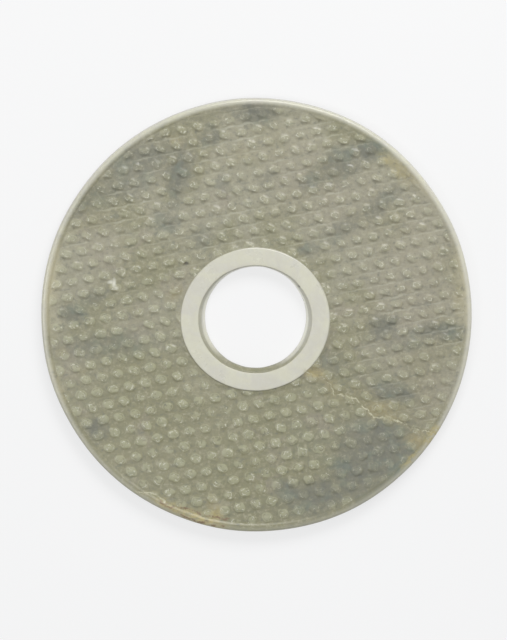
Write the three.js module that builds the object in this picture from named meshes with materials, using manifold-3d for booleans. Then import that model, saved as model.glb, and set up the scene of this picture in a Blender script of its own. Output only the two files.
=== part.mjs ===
// A bi: a flat jade disc with a round hole, carved from one slab. It lies on its back.
// A plain raised rim and a plain raised collar frame a sunken field on each face, and the
// field of the front is covered with rows of small round grains set out on a triangular grid.
// Frame: millimetres, +Z up out of the front face, origin at the middle of the underside,
// +Y towards the top of the disc as it is shown.

import * as THREE from "three";
import { mergeVertices } from "three/addons/utils/BufferGeometryUtils.js";
import Module from "manifold-3d";

// The slab. It was ground by hand and is a little out of round: taller than it is wide.
const DISC_WIDTH = 165;
const DISC_HEIGHT = 167;
const DISC_THICKNESS = 6;
const EDGE_ROUNDING = 1.1;

// The rim that is left standing round the edge, and the slope from it down to the field.
const RIM_WIDTH = 2.6;
const RIM_SLOPE = 0.5;

// How far each field is ground down below the rim and the collar.
const FRONT_FIELD_DEPTH = 0.7;
const BACK_FIELD_DEPTH = 0.6;

// The collar round the hole. It is a hand-cut oval, and sits a little off the middle of the disc.
const COLLAR_WIDTH = 56.8;
const COLLAR_HEIGHT = 55.0;
const COLLAR_SLOPE = 0.35;
const COLLAR_OFFSET_X = -0.5;
const COLLAR_OFFSET_Y = -1.3;

// The hole was bored from the front, so it narrows towards the back.
// Its mouth is an oval, opened out by a bevel; the bore below the bevel is round.
const MOUTH_WIDTH = 43.7;
const MOUTH_HEIGHT = 41.8;
const BORE_FRONT_WIDTH = 40.8;
const BORE_BACK_WIDTH = 38.7;
const MOUTH_BEVEL_DEPTH = 2.0;
const BACK_EDGE_BEVEL = 0.4;

// The grains: low six-sided domes in rows that climb to the right. The second set of rows
// falls to the right, and is spaced a little wider, as it was laid out by eye.
const GRAIN_WIDTH = 4.4;
const GRAIN_HEIGHT = 0.65;
const GRAIN_SIDES = 6;
const GRAIN_ROW_PITCH = 6.28;
const GRAIN_ROW_CLIMB_DEG = 11.3;
const GRAIN_DIAGONAL_PITCH = 6.35;
const GRAIN_DIAGONAL_FALL_DEG = 48;
const GRAIN_GRID_Y = -0.5;

// A grain is left out where less than this much of it, from its middle, would stand in the field.
const GRAIN_KEEP = 0.6;

// How far a grain's root is carried into the slab, so that the two join well.
const ROOT_DEPTH = 0.2;

const ROUND_STEPS = 72;
const EDGE_ROUND_STEPS = 2;

const frontFieldZ = DISC_THICKNESS - FRONT_FIELD_DEPTH;

// A level ring of the profile: an oval of the given full width and height at z.
function ring(width, height, z, centreX = 0, centreY = 0) {
  return { halfWidth: width / 2, halfHeight: height / 2, z, centreX, centreY };
}

// The disc's own outline, drawn in on every side by inset.
function discRing(inset, z) {
  return ring(DISC_WIDTH - 2 * inset, DISC_HEIGHT - 2 * inset, z);
}

// Where the rim's slope meets the field of a face.
function fieldEdgeRing(z) {
  return discRing(RIM_WIDTH + RIM_SLOPE, z);
}

// A ring that is centred on the hole, which is also the collar's centre.
function holeRing(width, height, z) {
  return ring(width, height, z, COLLAR_OFFSET_X, COLLAR_OFFSET_Y);
}

// The collar's own outline, grown on every side by grow.
function collarRing(grow, z) {
  return holeRing(COLLAR_WIDTH + 2 * grow, COLLAR_HEIGHT + 2 * grow, z);
}

// The rounded outer edge of one face, from the flat of the rim to the upright wall.
// It rises from the wall when up is 1, for the front, and drops from it when up is -1.
function roundedEdge(faceZ, up) {
  const rings = [];
  for (let step = 0; step <= EDGE_ROUND_STEPS; step++) {
    const turn = ((Math.PI / 2) * step) / EDGE_ROUND_STEPS;
    const inset = EDGE_ROUNDING * (1 - Math.sin(turn));
    rings.push(discRing(inset, faceZ - up * EDGE_ROUNDING * (1 - Math.cos(turn))));
  }
  return rings;
}

// The whole slab as one loop of rings: out over the front rim, round the edge, in across
// the back, up through the hole, and out over the front collar to the field.
function slabRings() {
  return [
    fieldEdgeRing(frontFieldZ),
    discRing(RIM_WIDTH, DISC_THICKNESS),
    ...roundedEdge(DISC_THICKNESS, 1),
    ...roundedEdge(0, -1).reverse(),
    discRing(RIM_WIDTH, 0),
    fieldEdgeRing(BACK_FIELD_DEPTH),
    collarRing(COLLAR_SLOPE, BACK_FIELD_DEPTH),
    collarRing(0, 0),
    holeRing(BORE_BACK_WIDTH + 2 * BACK_EDGE_BEVEL, BORE_BACK_WIDTH + 2 * BACK_EDGE_BEVEL, 0),
    holeRing(BORE_BACK_WIDTH, BORE_BACK_WIDTH, BACK_EDGE_BEVEL),
    holeRing(BORE_FRONT_WIDTH, BORE_FRONT_WIDTH, DISC_THICKNESS - MOUTH_BEVEL_DEPTH),
    holeRing(MOUTH_WIDTH, MOUTH_HEIGHT, DISC_THICKNESS),
    collarRing(0, DISC_THICKNESS),
    collarRing(COLLAR_SLOPE, frontFieldZ),
  ];
}

// Joins a closed loop of rings into one closed surface, the last ring to the first.
function loopGeometry(rings) {
  const positions = [];
  const index = [];
  for (const r of rings) {
    for (let step = 0; step < ROUND_STEPS; step++) {
      const angle = (2 * Math.PI * step) / ROUND_STEPS;
      const x = r.centreX + r.halfWidth * Math.cos(angle);
      const y = r.centreY + r.halfHeight * Math.sin(angle);
      positions.push(x, y, r.z);
    }
  }
  for (let row = 0; row < rings.length; row++) {
    const here = row * ROUND_STEPS;
    const next = ((row + 1) % rings.length) * ROUND_STEPS;
    for (let step = 0; step < ROUND_STEPS; step++) {
      const after = (step + 1) % ROUND_STEPS;
      index.push(here + step, next + step, next + after);
      index.push(here + step, next + after, here + after);
    }
  }
  const geometry = new THREE.BufferGeometry();
  geometry.setAttribute("position", new THREE.Float32BufferAttribute(positions, 3));
  geometry.setIndex(index);
  return geometry;
}

// One grain: a low faceted dome with its root below the field.
function grainGeometry() {
  const fullHeight = GRAIN_HEIGHT + ROOT_DEPTH;
  const rootRadius = ((GRAIN_WIDTH / 2) * fullHeight) / GRAIN_HEIGHT;
  const dome = new THREE.ConeGeometry(rootRadius, fullHeight, GRAIN_SIDES);
  dome.rotateX(Math.PI / 2);
  dome.rotateZ(THREE.MathUtils.degToRad(GRAIN_ROW_CLIMB_DEG));
  dome.translate(0, 0, frontFieldZ - ROOT_DEPTH + fullHeight / 2);
  return dome;
}

// How far outside a ring's oval a point lies. It is negative inside.
function beyondRing(oval, x, y) {
  const share = Math.hypot((x - oval.centreX) / oval.halfWidth, (y - oval.centreY) / oval.halfHeight);
  return (share - 1) * Math.min(oval.halfWidth, oval.halfHeight);
}

// True where a grain's middle stands well inside the field, clear of both slopes.
function standsInField(x, y) {
  const pastRim = beyondRing(fieldEdgeRing(frontFieldZ), x, y);
  const pastCollar = beyondRing(collarRing(COLLAR_SLOPE, frontFieldZ), x, y);
  return pastRim < -GRAIN_KEEP && pastCollar > GRAIN_KEEP;
}

// The places of the grains: where the rows that climb cross the rows that fall.
function grainPlaces() {
  const climb = THREE.MathUtils.degToRad(GRAIN_ROW_CLIMB_DEG);
  const fall = THREE.MathUtils.degToRad(GRAIN_DIAGONAL_FALL_DEG);
  const alongRow = [GRAIN_ROW_PITCH * Math.cos(climb), GRAIN_ROW_PITCH * Math.sin(climb)];
  const downDiagonal = [GRAIN_DIAGONAL_PITCH * Math.cos(fall), -GRAIN_DIAGONAL_PITCH * Math.sin(fall)];
  const reach = Math.ceil(Math.max(DISC_WIDTH, DISC_HEIGHT) / Math.min(alongRow[0], -downDiagonal[1]));
  const places = [];
  for (let step = -reach; step <= reach; step++) {
    for (let place = -reach; place <= reach; place++) {
      const x = place * alongRow[0] + step * downDiagonal[0];
      const y = place * alongRow[1] + step * downDiagonal[1] + GRAIN_GRID_Y;
      if (standsInField(x, y)) places.push([x, y]);
    }
  }
  return places;
}

const wasm = await Module();
wasm.setup();

// A closed geometry as a solid that can be joined and cut.
function toSolid(geometry) {
  const bare = geometry.clone();
  bare.deleteAttribute("normal");
  bare.deleteAttribute("uv");
  const merged = mergeVertices(bare, 1e-4);
  return new wasm.Manifold(
    new wasm.Mesh({
      numProp: 3,
      vertProperties: new Float32Array(merged.attributes.position.array),
      triVerts: new Uint32Array(merged.index.array),
    }),
  );
}

function toGeometry(solid) {
  const mesh = solid.getMesh();
  const geometry = new THREE.BufferGeometry();
  geometry.setAttribute("position", new THREE.BufferAttribute(mesh.vertProperties, 3));
  geometry.setIndex(new THREE.BufferAttribute(mesh.triVerts, 1));
  return geometry;
}

// The slab with every grain joined to it, as the one piece of stone that it is.
function carvedDisc() {
  const slab = toSolid(loopGeometry(slabRings()));
  const grain = toSolid(grainGeometry());
  const grains = grainPlaces().map(([x, y]) => grain.translate([x, y, 0]));
  return toGeometry(wasm.Manifold.union([slab, ...grains]));
}

const jade = new THREE.MeshStandardMaterial({
  name: "grey-green jade",
  color: new THREE.Color(0.34, 0.33, 0.25),
  roughness: 0.42,
  metalness: 0,
});

const disc = new THREE.Mesh(carvedDisc(), jade);
disc.name = "bi_disc";

const bi = new THREE.Group();
bi.name = "jade bi";
bi.add(disc);

export default bi;
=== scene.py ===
"""A jade bi disc: the carved stone, its finish, and the studio that it lies in.

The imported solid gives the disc's size and place. The stone shown here is one closed surface of
the same form, with the grains, their curls, the setting-out lines and the wear carved finer.
Lengths are millimetres until a mesh is made, which is in metres, as the lights are.
"""

import logging
import math
from dataclasses import dataclass, field, replace
from enum import Enum, IntEnum

import bpy
import numpy as np
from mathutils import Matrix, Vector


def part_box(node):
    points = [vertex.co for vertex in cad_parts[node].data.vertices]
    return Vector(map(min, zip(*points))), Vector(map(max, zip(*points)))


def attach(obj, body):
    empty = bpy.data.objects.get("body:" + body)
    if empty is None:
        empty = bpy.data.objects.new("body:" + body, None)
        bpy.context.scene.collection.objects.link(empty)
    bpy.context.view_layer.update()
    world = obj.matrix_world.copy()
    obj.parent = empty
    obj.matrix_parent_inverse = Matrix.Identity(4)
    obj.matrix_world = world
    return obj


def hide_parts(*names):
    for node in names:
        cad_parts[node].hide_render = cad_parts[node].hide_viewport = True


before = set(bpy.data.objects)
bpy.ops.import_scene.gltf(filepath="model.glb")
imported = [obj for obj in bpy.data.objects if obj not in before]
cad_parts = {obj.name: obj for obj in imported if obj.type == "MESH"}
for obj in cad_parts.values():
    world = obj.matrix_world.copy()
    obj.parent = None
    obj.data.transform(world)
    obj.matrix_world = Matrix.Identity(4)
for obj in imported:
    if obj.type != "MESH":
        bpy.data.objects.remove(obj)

LOG = logging.getLogger("bi_disc")
MM = 0.001
SEED = 41
FULL_TURN = 2 * math.pi
SIXTH_TURN = math.radians(60.0)

# The way towards the disc's upper right, along which the carving changes.
UPPER_RIGHT = np.array([0.45, 0.9])

# A start, and what a share of 1 adds to it.
Rise = tuple[float, float]

# The curl's arc: the fewest degrees that it runs, and the most that chance adds. Its tail stops
# short of the grain's middle by a share of the arc's radius.
CURL_SWEEP: Rise = (200.0, 100.0)
CURL_TAIL_END = 0.3

# How far the rim's step down to the front field is worn away, in millimetres, and where most.
RIM_WEAR: Rise = (0.29, 0.19)
MOST_WORN_AT = math.radians(65.0)


class Face(Enum):
    """A face of the disc, by the way it looks along Z."""

    FRONT = 1
    BACK = -1


class Row(Enum):
    """The two sets of rows that the grains were set out on."""

    CLIMBING = "climbing"
    FALLING = "falling"


def smooth_step(value: np.ndarray, low: float, high: float) -> np.ndarray:
    """Eases from 0 at low to 1 at high: 3 t squared less 2 t cubed, where t is the share of the way.

    Args:
        value: The values to ease.
        low: Where the step starts.
        high: Where the step ends.

    Returns:
        An array of the same shape, from 0 to 1.
    """
    share = np.clip((value - low) / (high - low), 0.0, 1.0)
    return share * share * (3.0 - 2.0 * share)


def risen(rise: Rise, share: np.ndarray) -> np.ndarray:
    """A value that grows with a share: the rise's start plus its second number times the share."""
    return rise[0] + rise[1] * share


def swell(gap: np.ndarray, width: float) -> np.ndarray:
    """A smooth rise towards an edge: e to the power of less the square of the gap over the width."""
    return np.exp(-((np.clip(gap, 0.0, None) / width) ** 2))


def ripple(places: np.ndarray, spacing: float, seed: int, waves: int = 9) -> np.ndarray:
    """Uneven ground: sine waves in random directions, added and divided by the root of their number.

    Args:
        places: Points in the plane, one a row.
        spacing: The mean distance from crest to crest.
        seed: Picks the directions, lengths and starts of the waves.
        waves: How many waves are added.

    Returns:
        One value for each point, about 0 and mostly within 1 of it.
    """
    luck = np.random.default_rng(seed)
    heading = luck.uniform(0.0, FULL_TURN, waves)
    number = FULL_TURN / (spacing * luck.uniform(0.6, 1.6, waves))
    start = luck.uniform(0.0, FULL_TURN, waves)
    aims = np.stack([np.cos(heading), np.sin(heading)]) * number
    return np.sin(places @ aims + start).sum(axis=1) / math.sqrt(waves)


def rim_wear(places: np.ndarray) -> np.ndarray:
    """How far the rim's step down to the front field is worn away.

    It is a mean plus a part that goes with the cosine of the angle from where it is worn most.

    Args:
        places: Points in the plane, or in space.

    Returns:
        The height that the field's edge is left standing, in millimetres.
    """
    angle = np.arctan2(places[:, 1], places[:, 0])
    return risen(RIM_WEAR, np.cos(angle - MOST_WORN_AT))


@dataclass(frozen=True)
class Oval:
    """A level oval, by half its width, half its height and its middle."""

    half_width: float
    half_height: float
    middle: tuple[float, float] = (0.0, 0.0)

    def grown(self, by: float) -> "Oval":
        """The oval let out on every side by a length, or drawn in if it is below 0."""
        return replace(self, half_width=self.half_width + by, half_height=self.half_height + by)

    def halves(self) -> np.ndarray:
        """Half the width and half the height as one array."""
        return np.array([self.half_width, self.half_height])

    def at(self, angles: np.ndarray) -> np.ndarray:
        """Points on the oval: the middle plus the halves times the cosine and sine of the angle."""
        return np.stack([np.cos(angles), np.sin(angles)], axis=-1) * self.halves() + self.middle

    def angle_of(self, places: np.ndarray) -> np.ndarray:
        """The angle, from 0 up to a full turn, at which a line from the middle leaves through a place."""
        away = (places - self.middle) / self.halves()
        return np.arctan2(away[..., 1], away[..., 0]) % FULL_TURN

    def share_of(self, places: np.ndarray) -> np.ndarray:
        """How far out places lie, as a share of the way from the middle to the oval."""
        away = (places - self.middle) / self.halves()
        return np.maximum(np.hypot(away[..., 0], away[..., 1]), 1e-9)

    def gap_inside(self, places: np.ndarray) -> np.ndarray:
        """How far inside the oval places lie along the line from its middle, below 0 outside."""
        away = places - np.asarray(self.middle)
        return np.hypot(away[..., 0], away[..., 1]) * (1.0 / self.share_of(places) - 1.0)

    def drawn_on(self, places: np.ndarray) -> np.ndarray:
        """The places moved along their lines from the middle until they lie on the oval."""
        return (places - self.middle) / self.share_of(places)[..., None] + self.middle


@dataclass(frozen=True)
class DiscSizes:
    """The disc's own sizes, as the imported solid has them."""

    half_width: float
    half_height: float
    thickness: float
    rim_width: float = 2.6
    rim_slope: float = 0.5
    edge_rounding: float = 1.1
    front_depth: float = 0.7
    back_depth: float = 0.6
    collar: Oval = Oval(28.4, 27.5, (-0.5, -1.3))
    collar_slope: float = 0.35
    mouth_half_width: float = 21.85
    mouth_half_height: float = 20.9
    bore_front_radius: float = 20.4
    bore_back_radius: float = 19.35
    mouth_bevel_depth: float = 2.0
    back_edge_bevel: float = 0.4

    @classmethod
    def from_frame(cls, node: str) -> "DiscSizes":
        """Takes the width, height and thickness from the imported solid.

        Args:
            node: The name of the disc's CAD node.

        Returns:
            The sizes in millimetres.
        """
        low, high = (np.asarray(corner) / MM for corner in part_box(node))
        span = high - low
        return cls(half_width=span[0] / 2, half_height=span[1] / 2, thickness=span[2])

    def outline(self) -> Oval:
        """The disc's outline."""
        return Oval(self.half_width, self.half_height)

    def field_edge(self) -> Oval:
        """Where the rim's slope meets the field."""
        return self.outline().grown(-self.rim_width - self.rim_slope)

    def collar_foot(self) -> Oval:
        """Where the collar's slope meets the field."""
        return self.collar.grown(self.collar_slope)

    def field_depth(self, face: Face) -> float:
        """How far a face's field is sunk below its rim."""
        return self.front_depth if face is Face.FRONT else self.back_depth

    def field_level(self, face: Face) -> float:
        """The height of a face's field above the table."""
        depth = self.field_depth(face)
        return self.thickness - depth if face is Face.FRONT else depth


@dataclass(frozen=True)
class GrainGrid:
    """The grid that the grains were set out on: rows that climb crossed by rows that fall."""

    row_pitch: float = 6.28
    row_climb: float = math.radians(11.3)
    diagonal_pitch: float = 6.35
    diagonal_fall: float = math.radians(48.0)
    middle: tuple[float, float] = (0.0, -0.5)

    def along(self) -> np.ndarray:
        """The step from a grain to the next one in its climbing row."""
        return self.row_pitch * np.array([math.cos(self.row_climb), math.sin(self.row_climb)])

    def upward(self) -> np.ndarray:
        """The step to the row above: one along the row, and one back up the falling row."""
        down = np.array([math.cos(self.diagonal_fall), -math.sin(self.diagonal_fall)])
        return self.along() - self.diagonal_pitch * down


@dataclass
class Surface:
    """Part of the stone's skin: points, triangles and what each point carries for the finish."""

    points: np.ndarray
    triangles: np.ndarray
    polish: np.ndarray
    relief: np.ndarray
    curl_place: np.ndarray
    grain_luck: np.ndarray
    score: np.ndarray
    outer_loop: np.ndarray = field(default_factory=lambda: np.zeros(0, int))
    inner_loop: np.ndarray = field(default_factory=lambda: np.zeros(0, int))

    @classmethod
    def plain(cls, points: np.ndarray, triangles: np.ndarray, polish: np.ndarray) -> "Surface":
        """A surface with no grains on it.

        Args:
            points: Its points.
            triangles: Its triangles, as rows of point numbers.
            polish: How highly each point is polished: 1 for a full polish, more where painted light makes
                the stone pale as thin stone lit through.

        Returns:
            The surface.
        """
        count = len(points)
        return cls(points, triangles, polish, np.zeros(count), np.zeros((count, 3)),
                   np.zeros(count), np.zeros(count))


@dataclass(frozen=True)
class Carving:
    """How the grains of one face are cut.

    rings holds the radius of each ring of points about a grain's middle, out to its foot.
    curl_ring is the radius that the curl's stroke follows, or 0 for grains with no curl.
    """

    steps: int
    rings: tuple[float, ...]
    foot: float
    height: float
    curl_ring: float
    curl_width: float
    curl_depth: float
    moat_depth: float
    row_depth: dict[Row, float]
    unevenness: float


FRONT_CARVING = Carving(
    steps=12,
    rings=(0.0, 0.40, 0.80, 1.19, 1.60, 2.02),
    foot=2.02,
    height=0.31,
    curl_ring=1.15,
    curl_width=0.40,
    curl_depth=0.10,
    moat_depth=0.05,
    row_depth={Row.CLIMBING: 0.11, Row.FALLING: 0.05},
    unevenness=0.045,
)

BACK_CARVING = Carving(
    steps=6,
    rings=(0.0, 1.0, 1.95),
    foot=2.1,
    height=0.42,
    curl_ring=0.0,
    curl_width=0.0,
    curl_depth=0.0,
    moat_depth=0.05,
    row_depth={Row.CLIMBING: 0.06, Row.FALLING: 0.0},
    unevenness=0.03,
)


@dataclass(frozen=True)
class Dent:
    """A small hollow where the stone is chipped or pitted."""

    place: tuple[float, float]
    radius: float
    depth: float

    def drop(self, places: np.ndarray) -> np.ndarray:
        """How far each place is sunk: the depth times one less the square of its share of the radius."""
        away = np.linalg.norm(places - self.place, axis=-1) / self.radius
        return self.depth * np.clip(1.0 - away**2, 0.0, None)


FRONT_DENTS = (
    Dent((-55.2, 12.2), 1.5, 0.42),
    Dent((-26.9, 20.3), 0.8, 0.4),
    Dent((-38.5, 23.0), 0.9, 0.25),
    Dent((60.8, -44.0), 1.6, 0.3),
    Dent((46.5, -37.5), 1.3, 0.25),
    Dent((-14.0, -76.5), 2.2, 0.3),
)


class Luck(IntEnum):
    """What each of a grain's random draws decides."""

    ACROSS = 0
    UP = 1
    SIZE = 2
    OVAL = 3
    TWIST = 4
    TAIL = 5
    SWEEP = 6
    HEIGHT = 7
    CORNERS = 8
    LEAN = 9


@dataclass(frozen=True)
class OwnGrain:
    """What each point of the net knows of the grain that it belongs to.

    middle is the grain's place on the grid, and luck holds its random draws. ring counts the
    point's steps from the middle, and out is the radius of that ring. heading is the way from the
    middle to the point, and twist is how far the grain is turned. crisp runs from 0 for a softly
    cut grain to 1 for a sharp one.
    """

    middle: np.ndarray
    luck: np.ndarray
    ring: np.ndarray
    out: np.ndarray
    heading: np.ndarray
    twist: np.ndarray
    crisp: np.ndarray

    def aim(self) -> np.ndarray:
        """The heading as a vector of length one: its cosine and its sine."""
        return np.stack([np.cos(self.heading), np.sin(self.heading)], axis=-1)


@dataclass
class CarvedField:
    """One face's sunken field, from the rim to the collar, with its grains.

    A Rise is a start and what a share adds to it. A span is where a smooth step starts and ends.
    """

    face: Face
    sizes: DiscSizes
    carving: Carving
    grid: GrainGrid = GrainGrid()
    border_share: float = 0.52
    draw_in_width: float = 2.2
    edge_ease: float = 0.45
    headroom: float = 0.04

    grain_wander: float = 0.36
    grain_spread: float = 0.14
    grain_size: Rise = (1.13, -0.21)
    size_span: tuple[float, float] = (-60.0, 75.0)
    grain_oval: float = 0.27
    oval_by_luck: Rise = (0.75, 0.5)
    oval_by_crisp: Rise = (0.40, 0.60)
    grain_turn: float = math.radians(-12.0)
    turn_spread: float = 0.8
    grain_twist: float = math.radians(16.0)
    grain_corners: float = 0.10
    corners_by_crisp: Rise = (1.4, -1.0)
    grain_gap: float = 0.28
    crisp_way: tuple[float, float] = (0.10, 0.95)
    crisp_span: tuple[float, float] = (-45.0, 15.0)

    stand_span: tuple[float, float] = (-1.6, 0.6)
    height_spread: float = 0.7
    height_middle: float = 0.75
    height_by_crisp: Rise = (0.80, 0.20)
    grain_tilt: float = 0.11
    deep_side: float = math.radians(-96.0)
    far_side_share: float = 0.45
    moat_ring: float = 1.12
    moat_width: float = 0.4
    moat_all_round: float = 0.15
    moat_by_crisp: Rise = (0.4, 0.6)
    curl_by_luck: Rise = (0.5, 1.0)
    groove_shade: float = 0.8
    moat_shade: float = 1.2
    moat_shade_all_round: float = 0.04

    line_kept: Rise = (0.35, 0.65)
    line_span: tuple[float, float] = (-35.0, 25.0)
    climbing_line: Rise = (0.75, 0.6)
    climbing_line_spacing: float = 22.0
    falling_line: Rise = (0.35, 0.7)
    falling_line_spacing: float = 18.0
    line_most: float = 1.4

    ground_spacing: float = 11.0
    fine_ground_spacing: float = 3.5
    fine_ground_share: float = 0.5
    collar_swell: float = 0.28
    collar_swell_width: float = 1.0
    rim_swell_width: float = 1.9

    def surface(self) -> Surface:
        """Lays a triangular net over the field, draws it into rings round each grain, and lifts it.

        Each cell of the grain grid is cut into equal triangles. The hexagons of points about a
        grain's middle become ovals, so that its foot and its curl follow rows of points. Points
        near the rim and the collar are drawn onto their ovals, and the net stops there.

        Returns:
            The surface, with its outer and inner loops sorted by angle.
        """
        steps = self.carving.steps
        along, upward = self.grid.along(), self.grid.upward()
        longest = max(np.linalg.norm(step) for step in (along, upward, along - upward)) / steps
        band = self.border_share * longest
        outer, inner = self.sizes.field_edge(), self.sizes.collar_foot()
        cells = math.ceil(self.sizes.half_height / (self.grid.row_pitch * math.sin(SIXTH_TURN)))
        span = np.arange(-cells * steps, cells * steps + 1)
        across, up = (grid.ravel() for grid in np.meshgrid(span, span, indexing="ij"))
        net = (across[:, None] * along + up[:, None] * upward) / steps + self.grid.middle
        to_rim, to_collar = outer.gap_inside(net), -inner.gap_inside(net)
        gap = np.minimum(to_rim, to_collar)

        triangles = self.net_triangles(len(span))
        triangles = triangles[(gap > band)[triangles].any(axis=1)]
        used, triangles = np.unique(triangles, return_inverse=True)
        triangles = triangles.reshape(-1, 3)
        net, gap, across, up = net[used], gap[used], across[used], up[used]
        on_rim = to_rim[used] <= band
        on_collar = to_collar[used] <= band
        net[on_rim] = outer.drawn_on(net[on_rim])
        net[on_collar] = inner.drawn_on(net[on_collar])
        gap = np.where(on_rim | on_collar, 0.0, gap)

        grain = self.own_grain(net, across, up, cells)
        places = self.drawn(net, gap, grain)
        scored = self.setting_out_lines(places, across, up)
        lift, relief, curl_place = self.carved(places, gap, grain, scored)
        lift = np.minimum(lift, self.sizes.field_depth(self.face) - self.headroom)
        points = np.column_stack([places, self.sizes.field_level(self.face) + self.face.value * lift])
        if self.face is Face.BACK:
            triangles = triangles[:, ::-1]
        rim_loop = np.flatnonzero(on_rim)
        collar_loop = np.flatnonzero(on_collar)
        return Surface(
            points, triangles, np.zeros(len(points)), relief, curl_place,
            grain.luck[:, Luck.SWEEP], scored,
            outer_loop=rim_loop[np.argsort(outer.angle_of(places[rim_loop]))],
            inner_loop=collar_loop[np.argsort(inner.angle_of(places[collar_loop]))],
        )

    @staticmethod
    def net_triangles(side: int) -> np.ndarray:
        """The triangles of a square net of points whose rows are numbered one after another.

        Args:
            side: How many points stand in each row.

        Returns:
            Rows of three point numbers, two triangles for each cell of the net.
        """
        number = np.arange(side * side).reshape(side, side)
        here, right = number[:-1, :-1], number[1:, :-1]
        above, beyond = number[:-1, 1:], number[1:, 1:]
        rising = np.stack([here, right, above], axis=-1).reshape(-1, 3)
        hanging = np.stack([right, beyond, above], axis=-1).reshape(-1, 3)
        return np.concatenate([rising, hanging])

    def nearest_grain(self, across: np.ndarray, up: np.ndarray) -> tuple[np.ndarray, ...]:
        """Finds the grain whose hexagon holds each point of the net.

        The distance between two points of the net is the largest of the steps across, the steps
        up, and their sum.

        Args:
            across: Each point's steps along the climbing row.
            up: Each point's steps up to higher rows.

        Returns:
            The grain's two numbers and the point's distance from its middle, in steps.
        """
        steps = self.carving.steps
        best = np.full(len(across), 2 * steps)
        row, column = np.zeros_like(across), np.zeros_like(up)
        for add_across in (0, 1):
            for add_up in (0, 1):
                try_row = across // steps + add_across
                try_column = up // steps + add_up
                off_across, off_up = across - try_row * steps, up - try_column * steps
                far = np.maximum.reduce([abs(off_across), abs(off_up), abs(off_across + off_up)])
                nearer = far < best
                best = np.where(nearer, far, best)
                row, column = np.where(nearer, try_row, row), np.where(nearer, try_column, column)
        return row, column, best

    def own_grain(self, net: np.ndarray, across: np.ndarray, up: np.ndarray, cells: int) -> OwnGrain:
        """Finds each point's grain and what chance gave it.

        Args:
            net: The points of the net in the plane.
            across: Each point's steps along the climbing row.
            up: Each point's steps up to higher rows.
            cells: How many cells the net reaches from its middle.

        Returns:
            What each point knows of its grain.
        """
        half = self.carving.steps // 2
        row, column, ring = self.nearest_grain(across, up)
        middle = (row[:, None] * self.grid.along() + column[:, None] * self.grid.upward()
                  + self.grid.middle)
        side = 2 * cells + 3
        draws = np.random.default_rng(SEED).random((side, side, len(Luck)))
        luck = draws[row + cells + 1, column + cells + 1]
        radii = np.asarray(self.carving.rings + (self.grid.row_pitch / 2,))
        twist = self.grain_twist * (luck[:, Luck.TWIST] - 0.5)
        offset = net - middle
        heading = np.arctan2(offset[:, 1], offset[:, 0]) + twist * (1.0 - ring / half)
        crisp = smooth_step(middle @ np.array(self.crisp_way), *self.crisp_span)
        return OwnGrain(middle, luck, ring, radii[np.minimum(ring, half)], heading, twist, crisp)

    def drawn(self, net: np.ndarray, gap: np.ndarray, grain: OwnGrain) -> np.ndarray:
        """Draws the hexagons of the net into rings round their grains.

        A ring's radius is its own times the grain's size, made oval by the cosine of twice the
        angle and cornered by the cosine of four times it. It stays inside the wall of the grain's
        hexagon, which lies at half the pitch times the cosine of 30 degrees over the cosine of
        the angle from the wall's middle. The drawing fades out towards the rim and the collar.

        Args:
            net: The points of the net in the plane.
            gap: How far each lies from the rim or the collar.
            grain: What each point knows of its grain.

        Returns:
            The points' new places.
        """
        luck, heading = grain.luck, grain.heading
        size = 1.0 + self.grain_spread * (luck[:, Luck.SIZE] - 0.5)
        size *= risen(self.grain_size, smooth_step(grain.middle @ UPPER_RIGHT, *self.size_span))
        radius = grain.out * size
        oval = self.grain_oval * risen(self.oval_by_luck, luck[:, Luck.OVAL])
        oval = oval * risen(self.oval_by_crisp, grain.crisp)
        turn = self.turn_spread * (luck[:, Luck.TWIST] - 0.5)
        radius *= 1.0 + oval * np.cos(2.0 * (heading - self.grain_turn - turn))
        corners = self.grain_corners * luck[:, Luck.CORNERS] * risen(self.corners_by_crisp, grain.crisp)
        radius *= 1.0 + corners * np.cos(4.0 * heading - FULL_TURN * luck[:, Luck.LEAN])

        aim = grain.aim()
        wander = self.grain_wander * (luck[:, [Luck.ACROSS, Luck.UP]] - 0.5)
        sector = (heading - self.grid.row_climb) % SIXTH_TURN - SIXTH_TURN / 2
        wall = self.grid.row_pitch / 2 * math.cos(SIXTH_TURN / 2) / np.cos(sector)
        room = wall - self.grain_gap - (wander * aim).sum(axis=1)
        radius = np.minimum(radius, room * grain.out / self.carving.foot)
        ringed = grain.middle + wander + radius[:, None] * aim
        inside = grain.ring < self.carving.steps // 2
        pull = np.clip(gap / self.draw_in_width, 0.0, 1.0) * inside
        return net + (ringed - net) * pull[:, None]

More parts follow.
